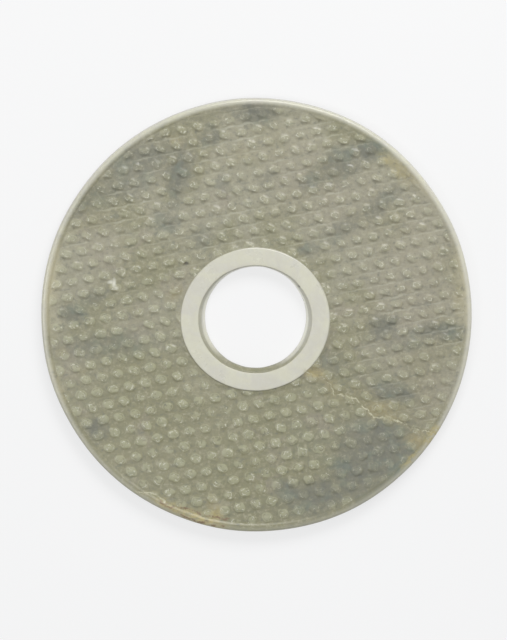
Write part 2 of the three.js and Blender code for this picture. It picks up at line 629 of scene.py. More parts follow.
    def carved(self, places: np.ndarray, gap: np.ndarray, grain: OwnGrain,
               scored: np.ndarray) -> tuple[np.ndarray, ...]:
        """Works out how high each point is carved.

        A grain's dome is one less the fifth power of the share of the way to its foot, leaning a
        little to one side. The moat round it goes as e to the power of less the square of the
        distance from its ring over its width, and is deepest on the grain's lower side. A curl is
        a groove along an arc about the middle, with a stroke from its start in towards the middle.

        Args:
            places: The points' places in the plane.
            gap: How far each lies from the rim or the collar.
            grain: What each point knows of its grain.
            scored: The depth of the setting-out lines.

        Returns:
            The points' lift above the field, their relief for the finish from -1 in a groove to 1
            on top of a grain, and their places in their own grain's frame, with a third value of
            1 where a grain stands.
        """
        cut, luck = self.carving, grain.luck
        own = grain.out[:, None] * grain.aim()
        share = np.clip(grain.out / cut.foot, 0.0, 1.0)
        clear = np.minimum(self.sizes.field_edge().gap_inside(grain.middle),
                           -self.sizes.collar_foot().gap_inside(grain.middle))
        taller = 1.0 + self.height_spread * (luck[:, Luck.HEIGHT]**0.5 - self.height_middle)
        stands = smooth_step(clear, *self.stand_span) * taller
        dome = (1.0 - share**5.0) * stands
        lean = FULL_TURN * luck[:, Luck.LEAN]
        uphill = own[:, 0] * np.cos(lean) + own[:, 1] * np.sin(lean)
        tilt = self.grain_tilt * luck[:, Luck.CORNERS] * uphill
        lift = (cut.height + tilt) * dome
        lift *= risen(self.height_by_crisp, grain.crisp)

        facing = np.cos(grain.heading - self.deep_side)
        under = np.clip(facing, 0.0, 1.0) ** 4
        under += self.far_side_share * np.clip(-facing, 0.0, 1.0) ** 6
        moat = np.exp(-(((grain.out - self.moat_ring * cut.foot) / self.moat_width) ** 2))
        moat = moat * stands * risen(self.moat_by_crisp, grain.crisp)
        lift -= cut.moat_depth * moat * (self.moat_all_round + under)

        tail = self.grid.row_climb + SIXTH_TURN * np.floor(6.0 * luck[:, Luck.TAIL]) + grain.twist
        curl_place = self.turned(own, -tail)
        inside = grain.ring < cut.steps // 2
        groove = np.zeros(len(places))
        if cut.curl_ring:
            far = self.curl_distance(curl_place, luck[:, Luck.SWEEP])
            groove = np.clip(1.0 - far / cut.curl_width, 0.0, 1.0) * inside
            lift -= cut.curl_depth * groove * stands * risen(self.curl_by_luck, luck[:, Luck.HEIGHT])

        lift -= scored
        uneven = ripple(places, self.ground_spacing, SEED + 1)
        uneven += self.fine_ground_share * ripple(places, self.fine_ground_spacing, SEED + 2)
        lift += cut.unevenness * uneven
        if self.face is Face.FRONT:
            for dent in FRONT_DENTS:
                lift -= dent.drop(places)
        lift *= smooth_step(gap, 0.0, self.edge_ease)
        if self.face is Face.FRONT:
            to_rim = self.sizes.field_edge().gap_inside(places)
            to_collar = -self.sizes.collar_foot().gap_inside(places)
            lift += self.collar_swell * swell(to_collar, self.collar_swell_width)
            lift += rim_wear(places) * swell(to_rim, self.rim_swell_width)
        shade = self.moat_shade * moat * (self.moat_shade_all_round + under)
        relief = np.clip(dome - self.groove_shade * groove - shade, -1.0, 1.0)
        return lift, relief, np.column_stack([curl_place, inside & (stands > 0.5)])

    @staticmethod
    def turned(places: np.ndarray, angle: np.ndarray) -> np.ndarray:
        """Places in the plane turned about the origin, each by its own angle.

        Args:
            places: Points in the plane, one a row.
            angle: The turn of each, anticlockwise.

        Returns:
            The turned points.
        """
        cosine, sine = np.cos(angle), np.sin(angle)
        return np.stack([places[:, 0] * cosine - places[:, 1] * sine,
                         places[:, 0] * sine + places[:, 1] * cosine], axis=-1)

    def curl_distance(self, place: np.ndarray, luck: np.ndarray) -> np.ndarray:
        """How far points lie from their grain's curl.

        The curl is an arc that runs on from the tail, and a straight tail from the arc's start in
        towards the middle.

        Args:
            place: The points in their grain's own frame, with its tail along +X.
            luck: From 0 to 1, how far the arc runs.

        Returns:
            The distance from the nearer of the two strokes.
        """
        radius = self.carving.curl_ring
        angle = np.arctan2(place[:, 1], place[:, 0]) % FULL_TURN
        sweep = np.radians(risen(CURL_SWEEP, luck))
        out = np.hypot(place[:, 0], place[:, 1])
        arc = np.where(angle <= sweep, abs(out - radius), np.inf)
        along = np.clip(place[:, 0], CURL_TAIL_END * radius, radius)
        tail = np.hypot(place[:, 0] - along, place[:, 1])
        return np.minimum(arc, tail)

    def setting_out_lines(self, places: np.ndarray, across: np.ndarray, up: np.ndarray) -> np.ndarray:
        """The depth of the lines scored midway between the rows.

        They are deepest at the upper right and fade in and out as a ripple does.

        Args:
            places: The points' places, for the fading.
            across: Each point's steps along the climbing row.
            up: Each point's steps up to higher rows.

        Returns:
            The depth at each point, 0 away from the lines.
        """
        half = self.carving.steps // 2
        climbing = (up % self.carving.steps) == half
        falling = ((across + up) % self.carving.steps) == half
        kept = risen(self.line_kept, smooth_step(places @ UPPER_RIGHT, *self.line_span))

        def strength(rise: Rise, spacing: float, seed: int) -> np.ndarray:
            """How deep a set of lines is cut at each point, as a share of its full depth."""
            return kept * np.clip(risen(rise, ripple(places, spacing, seed)), 0.0, self.line_most)

        deeper = strength(self.climbing_line, self.climbing_line_spacing, SEED + 3)
        fainter = strength(self.falling_line, self.falling_line_spacing, SEED + 4)
        depth = self.carving.row_depth
        return np.maximum(climbing * deeper * depth[Row.CLIMBING],
                          falling * fainter * depth[Row.FALLING])


@dataclass(frozen=True)
class RingOfSection:
    """One level ring of a swept section, with its polish."""

    oval: Oval
    height: float
    polish: float


@dataclass
class SweptBand:
    """A plain band of the stone that runs all the way round, such as the rim with its edge."""

    rings: list[RingOfSection]
    count: int
    waviness: float
    sag: float
    seed: int
    ripple_radius: float = 30.0
    waver_spacing: float = 14.0
    sag_spacing: float = 20.0

    def angles(self) -> np.ndarray:
        """The angles of the points in each ring."""
        return np.linspace(0.0, FULL_TURN, self.count, endpoint=False)

    def surface(self) -> Surface:
        """Carries the section round its ovals.

        A point's radius wavers a little, and above the section's middle its height sags a little,
        both as slow sine waves of the angle, so that the band looks ground by hand.

        Returns:
            The surface, with its first ring as the outer loop and its last as the inner loop.
        """
        angles = self.angles()
        around = np.stack([np.cos(angles), np.sin(angles)], axis=-1) * self.ripple_radius
        waver = self.waviness * ripple(around, self.waver_spacing, self.seed)
        drop = self.sag * (0.5 + 0.5 * ripple(around, self.sag_spacing, self.seed + 1))
        levels = np.array([ring.height for ring in self.rings])
        middle = (levels.max() + levels.min()) / 2
        rows = []
        for ring in self.rings:
            place = ring.oval.at(angles)
            outward = place - np.asarray(ring.oval.middle)
            outward = outward / np.linalg.norm(outward, axis=1, keepdims=True)
            lower = np.where(ring.height > middle, drop, 0.0)
            rows.append(np.column_stack([place + outward * waver[:, None], ring.height - lower]))
        points = np.concatenate(rows)
        number = np.arange(len(points)).reshape(len(self.rings), self.count)
        after = np.roll(number, -1, axis=1)
        first = np.stack([number[:-1], number[1:], after[1:]], axis=-1).reshape(-1, 3)
        second = np.stack([number[:-1], after[1:], after[:-1]], axis=-1).reshape(-1, 3)
        polish = np.repeat([ring.polish for ring in self.rings], self.count)
        surface = Surface.plain(points, np.concatenate([first, second]), polish)
        surface.outer_loop, surface.inner_loop = number[0], number[-1]
        return surface


def stitched(first: np.ndarray, first_angle: np.ndarray, second: np.ndarray,
             second_angle: np.ndarray) -> np.ndarray:
    """Fills the band between two closed loops of points with triangles.

    Both loops are walked together by rising angle. Each step along one loop makes a triangle with
    the last point passed on the other.

    Args:
        first: The point numbers of the loop that the band leaves.
        first_angle: Their angles, rising.
        second: The point numbers of the loop that the band reaches.
        second_angle: Their angles, rising.

    Returns:
        Rows of three point numbers.
    """
    first_after, second_after = np.roll(first, -1), np.roll(second, -1)
    passed = np.searchsorted(second_angle, np.roll(first_angle, -1), side="right") - 1
    leaving = np.stack([first, second[passed % len(second)], first_after], axis=-1)
    passed = np.searchsorted(first_angle, np.roll(second_angle, -1), side="left") - 1
    reaching = np.stack([second, second_after, first[passed % len(first)]], axis=-1)
    return np.concatenate([leaving, reaching])


@dataclass(frozen=True)
class Sheen:
    """How pale a band is painted as it runs round, as painted light and shade: a mean, and waves of the
    angle.
    """

    mean: float
    sine: float
    cosine: float
    twice: float

    def at(self, angle: np.ndarray) -> np.ndarray:
        """The mean, with the angle's sine and cosine and the cosine of twice it, each by its share."""
        return (self.mean + self.sine * np.sin(angle) + self.cosine * np.cos(angle)
                + self.twice * np.cos(2.0 * angle))


@dataclass
class BiDisc:
    """The disc as one piece of stone: two carved fields, the rim with its edge, and the collar.

    rim_wear_shares says how much of the rim's wear its first three rings go down by. The first is
    at its foot and comes up, because the field's edge is left standing there. bore_drift is how
    far the back of the bore lies off the collar's middle, and bore_stretch how much taller it is.
    side_relief marks the upright of the edge for the finish's painted shade, from the first to the second
    share in side_span of the edge's rounding below the top. rim_sheen and wall_sheen paint light and
    shade round the rim and the hole's wall.
    """

    sizes: DiscSizes
    rim_points: int = 240
    hole_points: int = 144
    corner: float = 0.12
    edge_turns: tuple[float, ...] = (20.0, 42.0, 66.0, 90.0)
    rim_wear_shares: tuple[float, ...] = (-0.36, 0.08, 0.08)
    side_relief: float = -2.0
    side_span: tuple[float, float] = (0.5, 1.2)
    back_lip: float = 0.12
    bore_drift: tuple[float, float] = (0.15, 0.2)
    bore_stretch: float = 0.2
    rim_sheen: Sheen = Sheen(1.22, 0.29, 0.05, 0.17)
    wall_sheen: Sheen = Sheen(0.80, 0.42, 0.25, 0.50)
    wall_drop: float = 0.2

    def rim_band(self) -> SweptBand:
        """The rim from the front field, over the edge, to the back field.

        Returns:
            The band, whose edge is a quarter circle on each face with an upright wall between. Each
        ring is given by its inset from the outline, its height and its polish.
        """
        s = self.sizes
        outline, top = s.outline(), s.thickness
        rounding, turns = s.edge_rounding, np.radians(self.edge_turns)

        def ring(inset: float, height: float, polish: float) -> RingOfSection:
            """A ring of the rim, drawn in from the outline by inset."""
            return RingOfSection(outline.grown(-inset), height, polish)

        rings = [
            ring(s.rim_width + self.corner, top - 0.34, 0.0),
            ring(s.rim_width - self.corner, top - 0.07, 0.10),
            ring(s.rim_width - 0.7, top - 0.02, 0.25),
            ring(rounding, top - 0.01, 0.5),
        ]
        rings += [ring(rounding * (1 - math.sin(turn)), top - rounding * (1 - math.cos(turn)), 0.6)
                  for turn in turns]
        rings += [ring(rounding * (1 - math.sin(turn)), rounding * (1 - math.cos(turn)), 0.4)
                  for turn in turns[::-1]]
        rings += [
            ring(rounding, 0.0, 0.5),
            ring(s.rim_width - self.corner, 0.0, 0.5),
            ring(s.rim_width + self.corner, self.back_lip, 0.2),
        ]
        return SweptBand(rings, self.rim_points, waviness=0.10, sag=0.05, seed=SEED + 10)

    def hole_band(self) -> SweptBand:
        """The collars and the hole, from the back field up through the hole to the front field.

        Returns:
            The band. The hole was bored from the front and narrows towards the back.
        """
        s = self.sizes
        top, collar, edge = s.thickness, s.collar, self.corner
        mouth = Oval(s.mouth_half_width, s.mouth_half_height, collar.middle)
        bore_front = Oval(s.bore_front_radius, s.bore_front_radius, collar.middle)
        drift_across, drift_up = self.bore_drift
        bore_back = Oval(s.bore_back_radius, s.bore_back_radius + self.bore_stretch,
                         (collar.middle[0] + drift_across, collar.middle[1] + drift_up))
        bevel_foot = top - s.mouth_bevel_depth
        rings = [
            RingOfSection(collar.grown(edge), self.back_lip, 0.3),
            RingOfSection(collar.grown(-edge), 0.0, 0.6),
            RingOfSection(bore_back.grown(s.back_edge_bevel + edge), 0.0, 0.6),
            RingOfSection(bore_back.grown(0.5 * s.back_edge_bevel), 0.1, 0.4),
            # Past a polish of 1 the lower wall is painted pale: painted light, from the glowing floor and
            # through the stone.
            RingOfSection(bore_back, s.back_edge_bevel, 1.3),
            RingOfSection(bore_back.grown(0.3), 0.45 * bevel_foot, 1.5),
            RingOfSection(bore_front.grown(-0.05), bevel_foot - 0.25, 1.0),
            RingOfSection(bore_front.grown(0.12), bevel_foot + 0.15, 0.55),
            RingOfSection(mouth.grown(-0.22), top - 0.35, 0.45),
            RingOfSection(mouth.grown(-0.02), top - 0.08, 0.8),
            RingOfSection(mouth.grown(0.15), top - 0.05, 1.0),
            RingOfSection(mouth.grown(1.5), top, 1.0),
            RingOfSection(collar.grown(-0.35), top, 1.0),
            RingOfSection(collar.grown(-0.08), top - 0.02, 1.0),
            RingOfSection(collar.grown(edge), top - 0.30, 0.5),
        ]
        return SweptBand(rings, self.hole_points, waviness=0.05, sag=0.02, seed=SEED + 20)

    def skin(self) -> Surface:
        """Joins the two fields and the two bands into one closed surface.

        Returns:
            The whole surface, with shared points along every join.
        """
        s = self.sizes
        front = CarvedField(Face.FRONT, s, FRONT_CARVING).surface()
        back = CarvedField(Face.BACK, s, BACK_CARVING).surface()
        rim_band, hole_band = self.rim_band(), self.hole_band()
        rim, hole = rim_band.surface(), hole_band.surface()
        # Painted light and shade: the rim paler at the right, left and top, where light falls on it, and
        # darker at the bottom.
        rim.polish *= self.rim_sheen.at(np.arctan2(rim.points[:, 1], rim.points[:, 0]))
        turns_at, side_at = (s.thickness - share * s.edge_rounding for share in self.side_span)
        # Marks the edge's upright for painted shade.
        rim.relief = self.side_relief * smooth_step(rim.points[:, 2], turns_at, side_at)
        # Painted light on the hole's wall: paler at the right and left, where it is lit, and plain at the
        # bottom.
        hole.polish *= self.wall_polish(hole.points)
        count = rim_band.count
        worn = rim_wear(rim.points[:count])
        for number, share in enumerate(self.rim_wear_shares):
            rim.points[number * count:(number + 1) * count, 2] -= share * worn
        parts = (front, back, rim, hole)
        starts = np.cumsum([0] + [len(part.points) for part in parts[:-1]])
        front_at, back_at, rim_at, hole_at = (int(start) for start in starts)

        outer, inner = s.field_edge(), s.collar_foot()
        rim_angle, hole_angle = rim_band.angles(), hole_band.angles()
        joins = [
            stitched(front.outer_loop + front_at, self.loop_angle(outer, front, front.outer_loop),
                     rim.outer_loop + rim_at, rim_angle),
            stitched(rim.inner_loop + rim_at, rim_angle,
                     back.outer_loop + back_at, self.loop_angle(outer, back, back.outer_loop)),
            stitched(back.inner_loop + back_at, self.loop_angle(inner, back, back.inner_loop),
                     hole.outer_loop + hole_at, hole_angle),
            stitched(hole.inner_loop + hole_at, hole_angle,
                     front.inner_loop + front_at, self.loop_angle(inner, front, front.inner_loop)),
        ]
        triangles = [part.triangles + int(start) for part, start in zip(parts, starts)]
        carried = {label: np.concatenate([getattr(part, label) for part in parts])
                   for label in ("points", "polish", "relief", "curl_place", "grain_luck", "score")}
        return Surface(triangles=np.concatenate(triangles + joins), **carried)

    def wall_polish(self, points: np.ndarray) -> np.ndarray:
        """How pale the hole's wall and the collar are painted, as a share of each ring's polish: painted
        light on the wall.

        Args:
            points: The hole's and the collar's points.

        Returns:
            One share for each point: 1 on the collar, and below it the wall's sheen at the angle
            about the hole, held above 0.
        """
        across, up = (points[:, :2] - self.sizes.collar.middle).T
        wall = np.maximum(self.wall_sheen.at(np.arctan2(up, across)), 0.0)
        return np.where(points[:, 2] < self.sizes.thickness - self.wall_drop, wall, 1.0)

    @staticmethod
    def loop_angle(oval: Oval, surface: Surface, loop: np.ndarray) -> np.ndarray:
        """The angles of a loop's points on the oval that they lie on."""
        return oval.angle_of(surface.points[loop][:, :2])

    def piece(self, name: str) -> bpy.types.Object:
        """Makes the stone's object from its skin.

        Args:
            name: The piece's name.

        Returns:
            The object, with the values that the finish reads as attributes of its points.
        """
        skin = self.skin()
        mesh = bpy.data.meshes.new(name)
        mesh.vertices.add(len(skin.points))
        mesh.vertices.foreach_set("co", (skin.points * MM).astype(np.float32).ravel())
        mesh.loops.add(skin.triangles.size)
        mesh.loops.foreach_set("vertex_index", skin.triangles.astype(np.int32).ravel())
        mesh.polygons.add(len(skin.triangles))
        starts = np.arange(0, skin.triangles.size, 3, dtype=np.int32)
        mesh.polygons.foreach_set("loop_start", starts)
        mesh.polygons.foreach_set("use_smooth", np.ones(len(skin.triangles), dtype=bool))
        for label in ("polish", "relief", "grain_luck", "score"):
            held = mesh.attributes.new(label, "FLOAT", "POINT")
            held.data.foreach_set("value", getattr(skin, label).astype(np.float32))
        held = mesh.attributes.new("curl_place", "FLOAT_VECTOR", "POINT")
        held.data.foreach_set("vector", skin.curl_place.astype(np.float32).ravel())
        mesh.update(calc_edges=True)
        stone = bpy.data.objects.new(name, mesh)
        bpy.context.scene.collection.objects.link(stone)
        return stone


Value = bpy.types.NodeSocket | float | tuple[float, ...]


@dataclass(frozen=True)
class Lumps:
    """A noise in the stone: how far apart its lumps are, its detail, roughness and distortion."""

    spacing: float
    detail: float = 3.0
    roughness: float = 0.6
    distortion: float = 0.0


@dataclass(frozen=True)
class Fade:
    """How strongly a thing shows: start where a value is low, easing to end where it is high."""

    low: float
    high: float
    start: float = 0.0
    end: float = 1.0


@dataclass(frozen=True)
class Marking:
    """A noise, and how strongly it shows."""

    lumps: Lumps
    fade: Fade


class NodeBench:
    """A node tree with short ways to add its nodes."""

    def __init__(self, tree: bpy.types.NodeTree) -> None:
        """Keeps the tree that the nodes go into."""
        self.tree = tree

    def put(self, socket: bpy.types.NodeSocket, value: Value) -> None:
        """Links a socket's value in, or sets it where the value is plain."""
        if isinstance(value, bpy.types.NodeSocket):
            self.tree.links.new(value, socket)
        else:
            socket.default_value = value

    def node(self, kind: str, inputs: dict[str | int, Value] | None = None,
             **settings: object) -> bpy.types.Node:
        """Adds a node.

        Args:
            kind: The node's Blender type.
            inputs: What goes into its sockets, by name or number.
            **settings: Properties of the node itself.

        Returns:
            The new node.
        """
        made = self.tree.nodes.new(kind)
        for label, setting in settings.items():
            setattr(made, label, setting)
        for label, value in (inputs or {}).items():
            self.put(made.inputs[label], value)
        return made

    def maths(self, operation: str, *values: Value, clamp: bool = False) -> bpy.types.NodeSocket:
        """The result of a Math node."""
        return self.node("ShaderNodeMath", dict(enumerate(values)), operation=operation,
                         use_clamp=clamp).outputs[0]

    def vector(self, operation: str, *values: Value) -> bpy.types.NodeSocket:
        """The vector result of a Vector Math node."""
        return self.node("ShaderNodeVectorMath", dict(enumerate(values)),
                         operation=operation).outputs[0]

    def length(self, value: Value) -> bpy.types.NodeSocket:
        """The length of a vector."""
        return self.node("ShaderNodeVectorMath", {0: value}, operation="LENGTH").outputs["Value"]

    def dot(self, first: Value, second: Value) -> bpy.types.NodeSocket:
        """The dot product of two vectors."""
        return self.node("ShaderNodeVectorMath", {0: first, 1: second},
                         operation="DOT_PRODUCT").outputs["Value"]

    def eased(self, value: Value, low: float, high: float, start: float = 0.0,
              end: float = 1.0) -> bpy.types.NodeSocket:
        """A value eased from start at low to end at high, and held beyond them."""
        inputs = {"Value": value, "From Min": low, "From Max": high, "To Min": start, "To Max": end}
        return self.node("ShaderNodeMapRange", inputs,
                         interpolation_type="SMOOTHSTEP").outputs["Result"]

    def faded(self, value: Value, fade: Fade) -> bpy.types.NodeSocket:
        """How strongly a thing shows at a value."""
        return self.eased(value, fade.low, fade.high, fade.start, fade.end)

    def noise(self, place: Value, lumps: Lumps, output: str = "Fac") -> bpy.types.NodeSocket:
        """The value of a noise, from 0 to 1, or its colour."""
        inputs = {"Vector": place, "Scale": 1.0 / lumps.spacing, "Detail": lumps.detail,
                  "Roughness": lumps.roughness, "Distortion": lumps.distortion}
        return self.node("ShaderNodeTexNoise", inputs).outputs[output]

    def marking(self, place: Value, marking: Marking) -> bpy.types.NodeSocket:
        """How strongly a noise shows at a place."""
        return self.faded(self.noise(place, marking.lumps), marking.fade)

    def shift(self, place: Value, lumps: Lumps, reach: tuple[float, ...]) -> bpy.types.NodeSocket:
        """How far a noise shifts a place: its colour less a half, times the reach."""
        off = self.vector("SUBTRACT", self.noise(place, lumps, "Color"), (0.5, 0.5, 0.5))
        return self.vector("MULTIPLY", off, reach)

    def attribute(self, name: str, output: str = "Fac") -> bpy.types.NodeSocket:
        """A value that the stone's points carry."""
        return self.node("ShaderNodeAttribute", attribute_name=name).outputs[output]

    def mixed(self, share: Value, first: Value, second: Value) -> bpy.types.NodeSocket:
        """Two colours mixed, from the first at share 0 to the second at share 1."""
        mix = self.node("ShaderNodeMix", data_type="RGBA", clamp_factor=True)
        self.put(mix.inputs[0], share)
        self.put(mix.inputs[6], first)
        self.put(mix.inputs[7], second)
        return mix.outputs[2]

    def group(self, tree: bpy.types.NodeTree, inputs: dict[str, Value]) -> bpy.types.NodeSocket:
        """The first output of a node group placed with its own values."""
        return self.node("ShaderNodeGroup", inputs, node_tree=tree).outputs[0]


def new_group(name: str, inputs: dict[str, str], output: str) -> tuple[
        bpy.types.NodeTree, NodeBench, bpy.types.Node]:
    """Starts a shader node group with named inputs and one value as its output.

    Args:
        name: The group's name.
        inputs: Each input's name and socket type.
        output: The output's name.

    Returns:
        The group, a bench for it, and its Group Input node.
    """
    tree = bpy.data.node_groups.new(name, "ShaderNodeTree")
    for label, kind in inputs.items():
        tree.interface.new_socket(label, in_out="INPUT", socket_type=kind)
    tree.interface.new_socket(output, in_out="OUTPUT", socket_type="NodeSocketFloat")
    bench = NodeBench(tree)
    return tree, bench, bench.node("NodeGroupInput")


# A patch in the stone: the name of its node group, how its edge fades as a share of its size,
# half its depth, and how softly two that meet run together.
PATCH_GROUP = "stone patch"
PATCH_EDGE = Fade(0.15, 1.15, 1.0, 0.0)
PATCH_DEPTH = 40.0
PATCH_BLEND = 0.15

# Distances past anything on the disc, and past anything on a grain.
FARTHEST = 1000.0
FAR_OFF = 9.0


def patch_group() -> bpy.types.NodeTree:
    """A node group for a soft-edged oval patch in the stone.

    The place less the patch's middle is turned to lie along it and divided by its half length and
    half width. The mask eases from 1 near the middle to 0 just past where the length of that is 1.

    Returns:
        The group, with its mask as the output.
    """
    tree, bench, given = new_group(PATCH_GROUP, {
        "Place": "NodeSocketVector",
        "Middle": "NodeSocketVector",
        "Size": "NodeSocketVector",
        "Turn": "NodeSocketFloat",
    }, "Mask")
    away = bench.vector("SUBTRACT", given.outputs["Place"], given.outputs["Middle"])
    back = bench.maths("MULTIPLY", given.outputs["Turn"], -1.0)
    turned = bench.node("ShaderNodeVectorRotate", {"Vector": away, "Angle": back},
                        rotation_type="Z_AXIS").outputs[0]
    share = bench.length(bench.vector("DIVIDE", turned, given.outputs["Size"]))
    bench.node("NodeGroupOutput", {"Mask": bench.faded(share, PATCH_EDGE)})
    return tree


def stretch_group() -> bpy.types.NodeTree:
    """A node group for the distance from a straight stretch of a crack, seen from above.

    The foot of the perpendicular is the stretch's start plus its length vector times the place's
    share along it, held between 0 and 1.

    Returns:
        The group, with the distance as the output.
    """
    tree, bench, given = new_group("crack stretch", {
        "Place": "NodeSocketVector",
        "Start": "NodeSocketVector",
        "End": "NodeSocketVector",
    }, "Distance")
    run = bench.vector("SUBTRACT", given.outputs["End"], given.outputs["Start"])
    away = bench.vector("SUBTRACT", given.outputs["Place"], given.outputs["Start"])
    share = bench.maths("DIVIDE", bench.dot(away, run), bench.dot(run, run), clamp=True)
    scaled = bench.node("ShaderNodeVectorMath", {0: run, "Scale": share}, operation="SCALE")
    far = bench.length(bench.vector("SUBTRACT", away, scaled.outputs[0]))
    bench.node("NodeGroupOutput", {"Distance": far})
    return tree


@dataclass(frozen=True)
class Patch:
    """A cloud, a stain, or a patch of painted light or shade in the stone: its middle, half length, half
    width, turn and strength.

    Its place and its lengths are in millimetres, and its turn is in degrees.
    """

    middle: tuple[float, float]
    half_length: float
    half_width: float
    turn: float = 0.0
    strength: float = 1.0


# The dark grey clouds. The last four, wide and faint, darken the middle and the lower half: painted
# shade, for light that falls off towards the bottom.
DARK_CLOUDS_AND_SHADE = (
    Patch((-44.0, 60.0), 23.6, 9.4, 14.0, 0.78),
    Patch((-49.0, 52.0), 29.0, 10.5, 26.0, 0.62),
    Patch((-64.0, 47.0), 16.5, 7.5, 52.0, 0.55),
    Patch((-29.5, 54.0), 17.7, 6.5, 78.0, 0.98),
    Patch((-34.5, 36.5), 8.3, 5.9, strength=0.78),
    Patch((-18.0, 70.0), 5.3, 5.9, strength=0.78),
    Patch((-1.0, 78.0), 14.2, 6.5, strength=0.91),
    Patch((43.5, 64.5), 9.4, 5.9, 25.0),
    Patch((33.0, 60.0), 15.3, 7.7, 35.0, 0.85),
    Patch((22.0, 53.0), 9.4, 5.9, 40.0, 0.65),
    Patch((47.0, 43.0), 14.2, 4.2, 36.0, 0.72),
    Patch((32.0, 33.5), 14.2, 4.9, 26.0, 0.62),
    Patch((19.0, 25.5), 6.0, 5.0, strength=0.80),
    Patch((5.0, 53.0), 7.1, 4.7, 45.0, 0.45),
    Patch((-13.0, 51.0), 5.9, 5.9, strength=0.45),
    Patch((-21.0, 30.0), 5.9, 7.1, strength=0.65),
    Patch((-71.0, 1.0), 8.8, 5.3),
    Patch((-62.0, 7.0), 10.6, 4.1, 30.0, 0.65),
    Patch((-58.0, -11.0), 28.3, 7.1, 4.0, 0.65),
    Patch((-62.0, -43.0), 7.1, 5.9, 20.0, 0.85),
    Patch((49.0, -5.0), 7.7, 7.1),
    Patch((70.0, -6.5), 15.3, 5.3, strength=0.98),
    Patch((56.0, -10.0), 18.9, 5.9, strength=0.45),
    Patch((49.0, -49.0), 24.8, 13.0, -12.0),
    Patch((37.0, -60.0), 14.0, 18.5),
    Patch((48.0, -55.0), 22.0, 19.0, -30.0),
    Patch((54.0, -53.0), 10.6, 8.3, strength=0.91),
    Patch((50.0, -43.5), 13.0, 5.5, -15.0),
    Patch((52.0, -29.0), 13.0, 6.5, -8.0),
    Patch((13.0, -68.0), 10.6, 7.1, strength=0.91),
    Patch((24.0, -70.0), 20.0, 12.0, 8.0, 0.90),
    Patch((29.0, -18.0), 9.4, 7.1, strength=0.59),
    Patch((44.0, -26.0), 24.0, 12.0, -15.0, 0.30),
    Patch((30.0, -50.0), 34.0, 22.0, -10.0, 0.30),
    Patch((-20.0, -8.0), 60.0, 9.0, 4.0, 0.20),
    Patch((10.0, -76.0), 34.0, 8.0, strength=0.30),
)

# Brown stains, most of them by the crack and along the rim.
BROWN_STAINS = (
    Patch((-31.0, 9.0), 6.0, 5.0, 60.0, 0.60),
    Patch((-31.0, 68.0), 5.0, 4.0, strength=0.50),
    Patch((57.0, 52.0), 8.0, 5.0, 30.0, 0.40),
    Patch((58.5, 53.5), 4.0, 2.8, -40.0, 0.90),
    Patch((53.5, 57.0), 9.0, 3.8, -42.0, 0.80),
    Patch((23.5, -22.3), 6.5, 3.2, -12.0),
    Patch((22.5, -22.6), 5.0, 2.4, -12.0),
    Patch((28.0, -27.0), 11.0, 5.0, -35.0, 0.65),
    Patch((42.0, -30.0), 9.0, 4.0, -20.0, 0.50),
    Patch((49.0, -36.5), 12.0, 5.0, -22.0),
    Patch((62.5, -47.5), 7.0, 4.6, -15.0),
    Patch((-15.5, -76.0), 4.0, 9.0, 15.0),
    Patch((-31.0, -76.0), 13.0, 3.0, -22.0, 0.80),
    Patch((76.0, 7.0), 3.5, 12.0, strength=0.45),
    Patch((-74.0, -13.0), 5.0, 3.5, strength=0.60),
    Patch((-66.0, -21.0), 6.0, 4.0, 30.0, 0.35),
    Patch((-50.0, -55.0), 7.0, 4.0, strength=0.35),
    Patch((-8.0, 62.0), 9.0, 6.0, 20.0, 0.35),
    Patch((16.0, 27.0), 5.0, 2.5, 20.0, 0.50),
)

# Where the stone is greener. The wide patches over the lower half also darken it: painted shade, for
# light that falls off towards the bottom.
MOSS_AND_SHADE_TINTS = (
    Patch((-38.0, -36.0), 62.0, 44.0, 10.0, 0.95),
    Patch((-40.0, 20.0), 30.0, 16.0, 20.0, 0.55),
    Patch((0.0, -66.0), 66.0, 42.0),
    Patch((0.0, -62.0), 110.0, 66.0, strength=0.90),
    Patch((45.0, -36.0), 44.0, 26.0, -15.0, 0.75),
    Patch((12.0, 42.0), 22.0, 9.0, 30.0, 0.40),
    Patch((-2.0, -20.0), 16.0, 5.5),
)

# Where it is paler.
PALE_TINTS = (
    Patch((12.0, 66.0), 30.0, 16.0, 10.0, 0.42),
    Patch((-22.0, -26.0), 14.0, 8.0, strength=0.40),
    Patch((36.0, 1.0), 12.0, 9.0, strength=0.45),
    Patch((-72.0, 33.0), 8.0, 14.0, -20.0, 0.50),
    Patch((62.0, 28.0), 24.0, 14.0, 60.0, 0.50),
    Patch((-55.0, 26.0), 22.0, 10.0, 15.0, 0.40),
    Patch((-17.0, 55.0), 5.0, 14.0, 8.0, 0.45),
    Patch((28.0, 44.0), 16.0, 5.0, 25.0, 0.35),
    Patch((-14.5, -74.0), 3.4, 5.8, 15.0, 0.90),
)

# Where it is warmer and a little brown.
BLUSHES = (
    Patch((60.0, 8.0), 26.0, 62.0, strength=0.45),
    Patch((26.0, 50.0), 44.0, 24.0, -30.0, 0.40),
    Patch((-30.0, 62.0), 34.0, 16.0, 20.0, 0.25),
    Patch((66.0, -30.0), 14.0, 22.0, -20.0, 0.50),
    Patch((-60.0, 30.0), 14.0, 24.0, strength=0.25),
)

# Painted light: the stone on and beside the rim at the left and the right made pale and warm, where light
# falls on the edge and shines through the thin stone.
EDGE_LIGHT_GLOWS = (
    Patch((-81.5, 22.0), 8.0, 42.0, strength=0.95),
    Patch((-62.0, 55.0), 5.0, 26.0, -45.0, 0.60),
    Patch((-79.0, -24.0), 5.0, 20.0, 18.0, 0.60),
    Patch((81.5, 20.0), 8.0, 44.0, strength=0.90),
    Patch((66.0, 50.0), 5.5, 24.0, 42.0, 0.70),
    Patch((52.0, 59.5), 6.0, 4.0, -40.0, 0.50),
)

